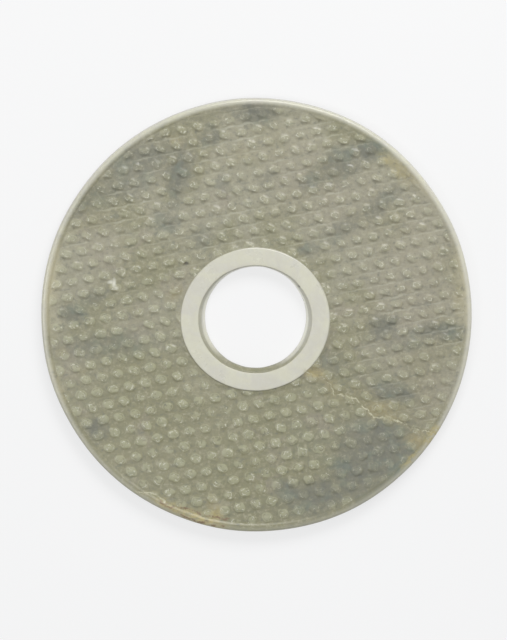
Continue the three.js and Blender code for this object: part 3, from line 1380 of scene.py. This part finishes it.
# Ochre along the crack's ends and the rim.
YELLOW_EDGES = (
    Patch((22.5, -22.4), 5.2, 1.9, -10.0, 0.55),
    Patch((67.6, -45.8), 2.6, 6.0, -35.0, 0.90),
    Patch((59.3, -55.3), 1.8, 8.0, -47.0, 0.70),
    Patch((50.0, 60.5), 6.0, 2.6, -35.0, 0.45),
    Patch((54.0, 56.5), 10.0, 3.8, -42.0, 0.42),
    Patch((-21.5, -78.3), 14.0, 2.6, -20.0, 0.95),
    Patch((-34.0, -73.0), 9.0, 2.2, -26.0, 0.80),
    Patch((-24.0, -77.0), 16.0, 3.4, -20.0, 0.60),
    Patch((-15.5, -76.5), 3.4, 3.6, 25.0, 0.75),
)

# The white chip at the left.
PALE_CHIPS = (
    Patch((-54.5, 12.7), 1.0, 2.6),
    Patch((-55.7, 13.1), 1.8, 1.0, 10.0),
    Patch((-53.8, 10.9), 1.3, 0.9, -30.0, 0.70),
)

# Small dark pits.
DARK_PITS = (
    Patch((-26.9, 20.3), 1.2, 0.9, 20.0),
    Patch((16.3, 11.4), 0.8, 0.5, -40.0, 0.90),
)

# The crack, from the collar out to the rim.
CRACK_POINTS = (
    (18.5, -21.5), (24.5, -23.7), (28.3, -26.0), (29.5, -29.9), (34.5, -31.0), (38.3, -32.2),
    (42.1, -36.0), (45.2, -39.1), (49.8, -39.5), (56.7, -41.4), (61.3, -43.8), (68.5, -45.4),
)

# The flaked rim at the lower left, and the rust that runs on from it.
FLAKE_POINTS = (
    (-46.0, -67.7), (-43.3, -68.6), (-41.4, -68.1), (-38.4, -68.6), (-35.3, -72.0),
)
RUST_POINTS = (
    (-37.5, -71.5), (-33.0, -74.0), (-26.0, -74.6), (-20.0, -77.0), (-11.0, -78.6),
)
EDGE_RUST_POINTS = ((-32.0, -75.6), (-23.0, -79.2), (-12.5, -81.4))


@dataclass(frozen=True)
class JadeFinish:
    """Polished grey-green nephrite, clouded and stained. Colours are linear.

    The fields after the colours say how far apart a pattern's lumps are in millimetres, and where
    and how strongly each thing shows.
    """

    body: tuple[float, ...] = (0.277, 0.272, 0.203, 1.0)
    cloud: tuple[float, ...] = (0.100, 0.110, 0.090, 1.0)
    # Greener stone, which over the lower half is also painted shade.
    moss_and_shade: tuple[float, ...] = (0.148, 0.151, 0.056, 1.0)
    pale: tuple[float, ...] = (0.375, 0.360, 0.262, 1.0)
    # Painted light: the warm pale of the lit edge and of light through the thin stone.
    glow: tuple[float, ...] = (0.520, 0.475, 0.310, 1.0)
    yellow: tuple[float, ...] = (0.400, 0.338, 0.138, 1.0)
    brown: tuple[float, ...] = (0.272, 0.232, 0.106, 1.0)
    rust: tuple[float, ...] = (0.175, 0.105, 0.045, 1.0)
    blush: tuple[float, ...] = (0.270, 0.240, 0.190, 1.0)
    # Polished stone's pale colour: partly cleaner stone, partly painted reflection of the lights on the
    # collar, rim and wall.
    polished: tuple[float, ...] = (0.664, 0.660, 0.545, 1.0)
    rubbed: tuple[float, ...] = (0.612, 0.604, 0.545, 1.0)
    # Pale grain tops: partly the grains' own paler stone, partly painted highlight.
    pad_and_highlight: tuple[float, ...] = (0.530, 0.545, 0.360, 1.0)
    # Painted light: the pale of light through thin stone, for polish past 1.
    thin: tuple[float, ...] = (0.860, 0.860, 0.740, 1.0)
    # The pale of the curls' cuts, and painted highlight along the setting-out lines.
    stroke: tuple[float, ...] = (0.620, 0.620, 0.500, 1.0)
    crack: tuple[float, ...] = (0.560, 0.545, 0.380, 1.0)
    # Dirt in pits and specks, and painted shade in the moats and grooves.
    dirt_and_shade: tuple[float, ...] = (0.120, 0.110, 0.080, 1.0)
    # Painted shade on the edge's upright, next to the floor.
    side: tuple[float, ...] = (0.130, 0.125, 0.120, 1.0)
    teal: tuple[float, ...] = (0.112, 0.148, 0.122, 1.0)
    chip: tuple[float, ...] = (0.640, 0.635, 0.540, 1.0)

    refraction: float = 1.62
    subsurface: float = 0.12
    subsurface_radius: tuple[float, ...] = (1.0, 0.95, 0.7)
    subsurface_depth: float = 1.2
    bump: float = 0.6
    roughness: Fade = Fade(0.0, 1.0, 0.36, 0.3)
    smears: Lumps = Lumps(9.0, 4.0)
    smear_strength: float = 0.25
    least_roughness: float = 0.12

    slow_drift: Lumps = Lumps(14.0)
    slow_reach: float = 8.0
    quick_drift: Lumps = Lumps(3.5, 4.0, 0.65)
    quick_reach: float = 5.0
    mottles: Lumps = Lumps(5.0, 6.0, 0.62)
    grit: Lumps = Lumps(1.7, 4.0, 0.7)
    moss_areas: Marking = Marking(Lumps(24.0, 3.0, 0.55), Fade(0.46, 0.64, 0.0, 0.75))
    pale_mottles: Fade = Fade(0.52, 0.74, 0.0, 0.55)
    blush_areas: Marking = Marking(Lumps(17.0, 4.0, 0.6, 0.6), Fade(0.55, 0.68, 0.0, 0.55))
    cloud_edges: Fade = Fade(0.30, 0.62, 1.18, 0.90)
    faint_clouds: Fade = Fade(0.44, 0.26, 0.0, 0.35)
    vein_run: float = 14.0
    vein_squash: tuple[float, ...] = (0.28, 1.0, 1.0)
    veins: Marking = Marking(Lumps(2.6, 5.0, 0.6, 0.4), Fade(0.46, 0.30, 0.0, 0.50))
    teal_areas: Marking = Marking(Lumps(9.0), Fade(0.48, 0.62, 0.0, 0.8))
    stain_edges: Fade = Fade(0.36, 0.66, 0.45, 1.0)
    calm_in_clouds: Fade = Fade(0.2, 0.9, 1.0, 0.4)
    pale_grit: Fade = Fade(0.51, 0.70, 0.0, 0.65)
    dark_grit: Fade = Fade(0.48, 0.29, 0.0, 0.55)
    specks: Marking = Marking(Lumps(1.0, 3.0, 0.7), Fade(0.37, 0.31, 0.0, 0.55))
    specks_in_clouds: Fade = Fade(0.1, 0.6)
    ochre_flecks: Marking = Marking(Lumps(1.9, 4.0, 0.7), Fade(0.38, 0.56, 0.25, 1.0))
    front_heights: Fade = Fade(3.0, 4.5)

    # Pale tops: partly the grains' own paler stone, partly painted highlight.
    tops_span: tuple[float, float] = (0.1, 0.8)
    tops_strength: Fade = Fade(-20.0, 40.0, 0.17, 0.32)
    # Painted shade in the moats and grooves.
    feet_span: tuple[float, float] = (0.0, -0.9)
    feet_strength: Fade = Fade(-20.0, 40.0, 0.22, 0.16)
    # Painted shade on the edge's upright, darkest at the upper left.
    side_span: tuple[float, float] = (-1.0, -2.0)
    side_way: tuple[float, ...] = (-0.75, 0.66, 0.0)
    side_strength: Fade = Fade(-20.0, 70.0, 0.40, 0.85)
    stroke_strength: float = 0.75
    # Painted highlight along the setting-out lines, broken by noise.
    line_highlight_breaks: Marking = Marking(Lumps(6.0), Fade(0.38, 0.60, 0.25, 1.0))
    line_depths: Fade = Fade(0.03, 0.11, 0.0, 0.25)
    # Paler with polish: partly cleaner stone, partly painted reflection.
    polish_and_sheen_share: Fade = Fade(0.1, 1.0, 0.0, 0.88)
    rubbed_areas: Marking = Marking(Lumps(7.0, 4.0, 0.6, 0.5), Fade(0.36, 0.64, 0.0, 0.85))
    # Painted light: past a polish of 1, the pale of thin stone lit through.
    thin_glow: Fade = Fade(1.0, 1.9)

    curl_shake: Lumps = Lumps(1.1, 2.0)
    curl_shake_reach: tuple[float, ...] = (1.5, 1.5, 0.0)
    curl_line: Fade = Fade(0.24, 0.08)
    curl_breaks: Marking = Marking(Lumps(1.3, 2.0), Fade(0.46, 0.60))

    crack_shake: Lumps = Lumps(3.2, 5.0, 0.72)
    crack_shake_reach: tuple[float, ...] = (4.2, 4.2, 0.0)
    crack_line: Fade = Fade(0.38, 0.10)
    crack_breaks: Marking = Marking(Lumps(3.0), Fade(0.42, 0.58, 0.05, 0.88))
    crack_halo: Fade = Fade(1.8, 0.2, 0.0, 0.14)
    crack_height: float = -0.12
    rust_line: Fade = Fade(0.62, 0.15, 0.0, 0.95)
    rust_breaks: Marking = Marking(Lumps(2.2), Fade(0.42, 0.56, 0.1, 1.0))

    scratch_run: float = 11.0
    scratch_squash: tuple[float, ...] = (0.16, 1.0, 1.0)
    scratches: Lumps = Lumps(0.8)
    scratch_share: float = 0.7
    tooth: Lumps = Lumps(0.7)
    tooth_height: Fade = Fade(0.0, 1.0, 0.09, 0.012)

    def material(self, name: str) -> bpy.types.Material:
        """Builds the stone's material.

        Args:
            name: The material's name.

        Returns:
            The material, which reads Object coordinates and the points' attributes.
        """
        made = bpy.data.materials.new(name)
        made.use_nodes = True
        made.node_tree.nodes.clear()
        bench = NodeBench(made.node_tree)
        seen = bench.node("ShaderNodeTexCoord").outputs["Object"]
        place = bench.vector("MULTIPLY", seen, (1.0 / MM,) * 3)
        colour, calm = self.stone_colour(bench, place)
        colour = self.worked_colour(bench, place, colour, calm)
        colour = self.ochre_colour(bench, place, colour)
        colour, crack = self.cracked_colour(bench, place, colour)
        on_front = bench.faded(bench.dot(place, (0.0, 0.0, 1.0)), self.front_heights)
        for patches, hue in ((PALE_CHIPS, self.chip), (DARK_PITS, self.dirt_and_shade)):
            marks = bench.maths("MULTIPLY", self.patches(bench, place, patches), on_front)
            colour = bench.mixed(marks, colour, hue)
        polish = bench.attribute("polish")
        height = self.fine_relief(bench, place, polish, crack)
        bump = bench.node("ShaderNodeBump", {"Height": height, "Strength": self.bump, "Distance": MM})
        smears = bench.maths("SUBTRACT", bench.noise(place, self.smears), 0.5)
        rough = bench.maths("MULTIPLY_ADD", smears, self.smear_strength,
                            bench.faded(polish, self.roughness))
        shader = bench.node("ShaderNodeBsdfPrincipled", {
            "Base Color": colour,
            "Roughness": bench.maths("MAXIMUM", rough, self.least_roughness),
            "IOR": self.refraction,
            "Subsurface Weight": self.subsurface,
            "Subsurface Radius": self.subsurface_radius,
            "Subsurface Scale": self.subsurface_depth * MM,
            "Normal": bump.outputs[0],
        })
        bench.node("ShaderNodeOutputMaterial", {"Surface": shader.outputs[0]})
        return made

    def patches(self, bench: NodeBench, place: Value, patches: tuple[Patch, ...]) -> Value:
        """The strongest of a set of patches at each place.

        Args:
            bench: The material's bench.
            place: The place in millimetres, already wandered.
            patches: The patches.

        Returns:
            A mask from 0 to 1.
        """
        tree = bpy.data.node_groups.get(PATCH_GROUP) or patch_group()
        total: Value = 0.0
        for patch in patches:
            mask = bench.group(tree, {
                "Place": place,
                "Middle": (*patch.middle, 0.0),
                "Size": (patch.half_length, patch.half_width, PATCH_DEPTH),
                "Turn": math.radians(patch.turn),
            })
            scaled = bench.maths("MULTIPLY", mask, patch.strength)
            total = bench.maths("SMOOTH_MAX", total, scaled, PATCH_BLEND)
        return total

    def quick_shift(self, bench: NodeBench, place: Value) -> Value:
        """How far a place is shifted by the quick drift."""
        return bench.shift(place, self.quick_drift, (self.quick_reach,) * 3)

    def stone_colour(self, bench: NodeBench, place: Value) -> tuple[Value, Value]:
        """The uncarved stone: body colour, tints, clouds and veins, stains, grit and specks, with painted
        shade over the lower half and painted light beside the rim.

        The patches are looked up at a place that two drifts have shifted, which makes their edges
        ragged. The veins' noise is looked up at places squashed along their run, which draws it out.

        Args:
            bench: The material's bench.
            place: The place in millimetres.

        Returns:
            The colour, and how lively it is: 1 in open stone, lower in the dark clouds.
        """
        slow_shift = bench.shift(place, self.slow_drift, (self.slow_reach,) * 3)
        wander = bench.vector("ADD", slow_shift, self.quick_shift(bench, place))
        wandered = bench.vector("ADD", place, wander)
        mottle = bench.noise(wandered, self.mottles)
        grit = bench.noise(place, self.grit)

        colour: Value = self.body
        # Greener stone, and painted shade over the lower half.
        colour = bench.mixed(self.patches(bench, wandered, MOSS_AND_SHADE_TINTS), colour, self.moss_and_shade)
        colour = bench.mixed(bench.marking(place, self.moss_areas), colour, self.moss_and_shade)
        colour = bench.mixed(self.patches(bench, wandered, PALE_TINTS), colour, self.pale)
        # Painted light on and beside the rim at the left and the right.
        colour = bench.mixed(self.patches(bench, wandered, EDGE_LIGHT_GLOWS), colour, self.glow)
        colour = bench.mixed(bench.faded(mottle, self.pale_mottles), colour, self.pale)
        blushing = bench.maths("MAXIMUM", self.patches(bench, wandered, BLUSHES),
                               bench.marking(wandered, self.blush_areas))
        colour = bench.mixed(blushing, colour, self.blush)

        # Dark clouds, and painted shade over the middle and the lower half.
        clouds = self.patches(bench, wandered, DARK_CLOUDS_AND_SHADE)
        ragged = bench.maths("MULTIPLY", clouds, bench.faded(mottle, self.cloud_edges))
        run = bench.vector("MULTIPLY", self.along_rows(bench, place, self.vein_run), self.vein_squash)
        veins = bench.marking(run, self.veins)
        faint = bench.maths("MAXIMUM", bench.faded(mottle, self.faint_clouds), veins)
        dark = bench.maths("MAXIMUM", ragged, faint, clamp=True)
        dark_colour = bench.mixed(bench.marking(place, self.teal_areas), self.cloud, self.teal)
        colour = bench.mixed(dark, colour, dark_colour)
        stains = bench.maths("MULTIPLY", self.patches(bench, wandered, BROWN_STAINS),
                             bench.faded(mottle, self.stain_edges))
        colour = bench.mixed(stains, colour, self.brown)

        calm = bench.faded(clouds, self.calm_in_clouds)
        lighter = bench.maths("MULTIPLY", bench.faded(grit, self.pale_grit), calm)
        colour = bench.mixed(lighter, colour, self.pale)
        colour = bench.mixed(bench.faded(grit, self.dark_grit), colour, self.cloud)
        specks = bench.maths("MULTIPLY", bench.marking(place, self.specks),
                             bench.faded(clouds, self.specks_in_clouds))
        return bench.mixed(specks, colour, self.dirt_and_shade), calm

    @staticmethod
    def along_rows(bench: NodeBench, place: Value, degrees: float) -> Value:
        """The place turned so that +X runs along a direction in the stone."""
        inputs = {"Vector": place, "Angle": -math.radians(degrees)}
        return bench.node("ShaderNodeVectorRotate", inputs, rotation_type="Z_AXIS").outputs[0]

    def worked_colour(self, bench: NodeBench, place: Value, colour: Value, calm: Value) -> Value:
        """What the work does to the colour, with painted light and shade: pale tops, curls and lines,
        shaded feet, pale polish.

        The tops stand out more and the feet less towards the lower left. The tops' pale is partly painted
        highlight, the lines' pale is painted highlight, and the feet's dark is painted shade. The upright
        of the edge, whose relief is below -1, gets painted shade, darkest at the upper left. Polish makes
        the stone pale, partly as painted reflection, and stone polished past 1 is painted paler still, as
        thin stone lit through.

        Args:
            bench: The material's bench.
            place: The place in millimetres.
            colour: The uncarved stone's colour.
            calm: How far the tops and the curls stand out from it.

        Returns:
            The colour of the worked stone.
        """
        relief, polish = bench.attribute("relief"), bench.attribute("polish")
        lower_left = bench.dot(place, (*-UPPER_RIGHT, 0.0))
        # Pale tops: partly the grains' own paler stone, partly painted highlight where light falls on
        # them.
        tops = bench.eased(relief, *self.tops_span, 0.0, bench.faded(lower_left, self.tops_strength))
        colour = bench.mixed(bench.maths("MULTIPLY", tops, calm), colour, self.pad_and_highlight)
        # Painted shade in the moats and the curls' grooves, most below each grain.
        feet = bench.eased(relief, *self.feet_span, 0.0, bench.faded(lower_left, self.feet_strength))
        colour = bench.mixed(feet, colour, self.dirt_and_shade)
        # Painted shade on the edge's upright, darkest at the upper left.
        upper_left = bench.dot(place, self.side_way)
        side = bench.eased(relief, *self.side_span, 0.0, bench.faded(upper_left, self.side_strength))
        colour = bench.mixed(side, colour, self.side)
        strength = bench.maths("MULTIPLY", calm, self.stroke_strength)
        stroke = bench.maths("MULTIPLY", self.curl_stroke(bench, place), strength)
        colour = bench.mixed(stroke, colour, self.stroke)
        # Painted highlight: the setting-out lines made pale where light catches each groove's lower bank.
        line = bench.maths("MULTIPLY", bench.faded(bench.attribute("score"), self.line_depths),
                           bench.marking(place, self.line_highlight_breaks))
        colour = bench.mixed(line, colour, self.stroke)
        # Paler with polish: partly cleaner stone, partly painted reflection of the lights.
        polished = bench.mixed(bench.marking(place, self.rubbed_areas), self.polished, self.rubbed)
        colour = bench.mixed(bench.faded(polish, self.polish_and_sheen_share), colour, polished)
        # Painted light: stone polished past 1 made pale as thin stone lit through.
        return bench.mixed(bench.faded(polish, self.thin_glow), colour, self.thin)

    def curl_stroke(self, bench: NodeBench, place: Value) -> Value:
        """The thin pale stroke of each grain's curl, broken and wavering as a hand-cut line is.

        It follows the arc and the tail that are carved, in the grain's own frame.

        Args:
            bench: The material's bench.
            place: The place in millimetres, for the wavering.

        Returns:
            A mask of the stroke.
        """
        shake = bench.shift(place, self.curl_shake, self.curl_shake_reach)
        shaken = bench.vector("ADD", bench.attribute("curl_place", "Vector"), shake)
        parts = bench.node("ShaderNodeSeparateXYZ", {0: shaken}).outputs
        flat = bench.node("ShaderNodeCombineXYZ", {0: parts[0], 1: parts[1]}).outputs[0]
        radius = FRONT_CARVING.curl_ring
        least, more = (math.radians(degrees) for degrees in CURL_SWEEP)
        angle = bench.maths("FLOORED_MODULO", bench.maths("ARCTAN2", parts[1], parts[0]), FULL_TURN)
        sweep = bench.maths("MULTIPLY_ADD", bench.attribute("grain_luck"), more, least)
        past = bench.maths("GREATER_THAN", angle, sweep)
        off_arc = bench.maths("ABSOLUTE", bench.maths("SUBTRACT", bench.length(flat), radius))
        off_arc = bench.maths("ADD", off_arc, bench.maths("MULTIPLY", past, FAR_OFF))
        span = {"Value": parts[0], "Min": CURL_TAIL_END * radius, "Max": radius}
        along = bench.node("ShaderNodeClamp", span).outputs[0]
        foot = bench.node("ShaderNodeCombineXYZ", {0: along}).outputs[0]
        off_tail = bench.length(bench.vector("SUBTRACT", flat, foot))
        line = bench.faded(bench.maths("MINIMUM", off_arc, off_tail), self.curl_line)
        on_grain = bench.maths("GREATER_THAN", parts[2], 0.9)
        broken = bench.maths("MULTIPLY", line, bench.marking(place, self.curl_breaks))
        return bench.maths("MULTIPLY", broken, on_grain)

    def ochre_colour(self, bench: NodeBench, place: Value, colour: Value) -> Value:
        """The ochre edges, in flecks.

        Args:
            bench: The material's bench.
            place: The place in millimetres.
            colour: The stone's colour without them.

        Returns:
            The colour with them.
        """
        near = bench.vector("ADD", place, self.quick_shift(bench, place))
        ochre = bench.maths("MULTIPLY", self.patches(bench, near, YELLOW_EDGES),
                            bench.marking(place, self.ochre_flecks))
        return bench.mixed(ochre, colour, self.yellow)

    def cracked_colour(self, bench: NodeBench, place: Value, colour: Value) -> tuple[Value, Value]:
        """The crack and the flaked rim: a thin pale line with brown beside it, and lines of rust.

        Args:
            bench: The material's bench.
            place: The place in millimetres.
            colour: The stone's colour without them.

        Returns:
            The colour, and the mask of the thin line.
        """
        shake = bench.shift(place, self.crack_shake, self.crack_shake_reach)
        level = bench.vector("MULTIPLY", bench.vector("ADD", place, shake), (1.0, 1.0, 0.0))
        tree = stretch_group()

        def distance(*lines: tuple[tuple[float, float], ...]) -> Value:
            """How far the place is from the nearest of some broken lines."""
            far: Value = FARTHEST
            for points in lines:
                for start, end in zip(points, points[1:]):
                    ends = {"Place": level, "Start": (*start, 0.0), "End": (*end, 0.0)}
                    far = bench.maths("MINIMUM", far, bench.group(tree, ends))
            return far

        far = distance(CRACK_POINTS, FLAKE_POINTS)
        rusty = bench.faded(distance(RUST_POINTS, EDGE_RUST_POINTS), self.rust_line)
        rusty = bench.maths("MULTIPLY", rusty, bench.marking(place, self.rust_breaks))
        colour = bench.mixed(rusty, colour, self.rust)
        colour = bench.mixed(bench.faded(far, self.crack_halo), colour, self.brown)
        line = bench.faded(far, self.crack_line)
        broken = bench.maths("MULTIPLY", line, bench.marking(place, self.crack_breaks))
        return bench.mixed(broken, colour, self.crack), line

    def fine_relief(self, bench: NodeBench, place: Value, polish: Value, crack: Value) -> Value:
        """Tool scratches along the rows and a fine tooth on the field, softened by polish.

        Args:
            bench: The material's bench.
            place: The place in millimetres.
            polish: How highly each place is polished.
            crack: The mask of the crack's thin line.

        Returns:
            The height in millimetres.
        """
        run = self.along_rows(bench, place, self.scratch_run)
        scratches = bench.noise(bench.vector("MULTIPLY", run, self.scratch_squash), self.scratches)
        both = bench.maths("MULTIPLY_ADD", scratches, self.scratch_share,
                           bench.noise(place, self.tooth))
        rough = bench.maths("MULTIPLY", both, bench.faded(polish, self.tooth_height))
        return bench.maths("MULTIPLY_ADD", crack, self.crack_height, rough)


@dataclass(frozen=True)
class SoftLight:
    """A rectangular soft light: its place and size in metres, its power in watts, its colour."""

    name: str
    place: tuple[float, float, float]
    size: tuple[float, float]
    power: float
    colour: tuple[float, float, float] = (1.0, 1.0, 1.0)

    def hang(self) -> None:
        """Hangs the light and turns it to face the disc's middle."""
        light = bpy.data.lights.new(self.name, "AREA")
        light.shape = "RECTANGLE"
        light.size, light.size_y = self.size
        light.energy = self.power
        light.color = self.colour
        lamp = bpy.data.objects.new(self.name, light)
        lamp.visible_camera = False
        across, up, above = self.place
        lamp.location = self.place
        lamp.rotation_euler = (math.atan2(math.hypot(across, up), above), 0.0,
                               math.atan2(up, across) + math.pi / 2)
        bpy.context.scene.collection.objects.link(lamp)


SOFT_LIGHTS = (
    SoftLight("top bank", (0.25, 0.85, 0.80), (0.8, 0.5), 10.4, (1.0, 0.995, 0.985)),
    SoftLight("overhead", (0.0, -0.2, 1.7), (1.1, 1.1), 3.8),
    SoftLight("left spot", (-0.55, -0.10, 0.95), (0.2, 0.2), 1.4),
)


@dataclass(frozen=True)
class Studio:
    """The glowing floor, the soft lights and the camera, set as in the photograph.

    Its lengths are in millimetres, but for nearest and farthest, between which the camera sees, in
    metres.
    """

    picture: tuple[int, int] = (507, 640)
    disc_middle: tuple[float, float] = (256.45, 315.25)
    millimetres_per_pixel: float = 0.3834
    lean: float = math.radians(7.0)
    distance: float = 3000.0
    aim_height: float = 3.0
    sensor: float = 36.0
    nearest: float = 0.05
    farthest: float = 20.0

    floor_reach: float = 3000.0
    floor_drop: float = 0.02
    floor_glow: float = 0.685
    glow_colour: tuple[float, ...] = (0.995, 0.997, 1.0, 1.0)
    paper_shades: Lumps = Lumps(0.2, 2.0, 0.5)
    paper_darker: tuple[float, ...] = (0.212, 0.212, 0.213, 1.0)
    paper_lighter: tuple[float, ...] = (0.228, 0.228, 0.229, 1.0)
    paper_roughness: float = 0.9
    paper_shine: float = 0.1
    room_colour: tuple[float, ...] = (0.97, 0.98, 1.0, 1.0)
    room_strength: float = 0.42

    def floor(self) -> bpy.types.Object:
        """A glowing, matt floor just under the disc."""
        half = self.floor_reach / 2 * MM
        corners = [(x * half, y * half, -self.floor_drop * MM)
                   for x, y in ((-1, -1), (1, -1), (1, 1), (-1, 1))]
        mesh = bpy.data.meshes.new("floor")
        mesh.from_pydata(corners, [], [(0, 1, 2, 3)])
        floor = bpy.data.objects.new("floor", mesh)
        bpy.context.scene.collection.objects.link(floor)
        mesh.materials.append(self.paper())
        return floor

    def paper(self) -> bpy.types.Material:
        """The floor's finish: a grey paper with a glow that makes it white and its shadows faint."""
        made = bpy.data.materials.new("white paper")
        made.use_nodes = True
        bench = NodeBench(made.node_tree)
        place = bench.node("ShaderNodeTexCoord").outputs["Object"]
        shade = bench.noise(place, self.paper_shades)
        shader = made.node_tree.nodes["Principled BSDF"]
        for label, value in {
            "Base Color": bench.mixed(shade, self.paper_darker, self.paper_lighter),
            "Roughness": self.paper_roughness,
            "Emission Color": self.glow_colour,
            "Emission Strength": self.floor_glow,
            "Specular IOR Level": self.paper_shine,
        }.items():
            bench.put(shader.inputs[label], value)
        return made

    def lights(self) -> None:
        """The soft lights, and a pale room round them."""
        for light in SOFT_LIGHTS:
            light.hang()
        world = bpy.data.worlds.new("pale room")
        bpy.context.scene.world = world
        world.use_nodes = True
        background = world.node_tree.nodes["Background"]
        background.inputs["Color"].default_value = self.room_colour
        background.inputs["Strength"].default_value = self.room_strength

    def camera(self) -> bpy.types.Object:
        """The camera above the disc, leaning a little towards its top.

        It aims beside the disc's middle, so that the middle falls where it does in the picture.

        Returns:
            The camera.
        """
        wide, high = self.picture
        scale = self.millimetres_per_pixel
        off_right = (self.disc_middle[0] - wide / 2) * scale
        off_up = (high / 2 - self.disc_middle[1]) * scale / math.cos(self.lean)
        aim = np.array([-off_right, -off_up, self.aim_height])
        back = np.array([0.0, math.sin(self.lean), math.cos(self.lean)])
        lens = bpy.data.cameras.new("camera")
        lens.sensor_width = self.sensor
        lens.lens = self.sensor * self.distance / (high * scale)
        lens.clip_start, lens.clip_end = self.nearest, self.farthest
        camera = bpy.data.objects.new("camera", lens)
        camera.location = (aim + back * self.distance) * MM
        camera.rotation_euler = (-self.lean, 0.0, 0.0)
        bpy.context.scene.collection.objects.link(camera)
        bpy.context.scene.camera = camera
        return camera

    def set_up(self) -> None:
        """Makes the floor, the lights and the camera, and shows colours as they are."""
        self.floor()
        self.lights()
        self.camera()
        bpy.context.scene.view_settings.view_transform = "Standard"


def main() -> None:
    """Builds the stone and the studio, and reports the piece."""
    logging.basicConfig(level=logging.INFO, format="%(name)s: %(message)s")
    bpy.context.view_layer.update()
    Studio().set_up()
    sizes = DiscSizes.from_frame("bi_disc")
    stone = BiDisc(sizes).piece("bi_disc_stone")
    stone.data.materials.append(JadeFinish().material("nephrite"))
    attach(stone, "root")
    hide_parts("bi_disc")
    LOG.info("%s: %d points, %d triangles", stone.name, len(stone.data.vertices),
             len(stone.data.polygons))


if __name__ == "__main__":
    main()
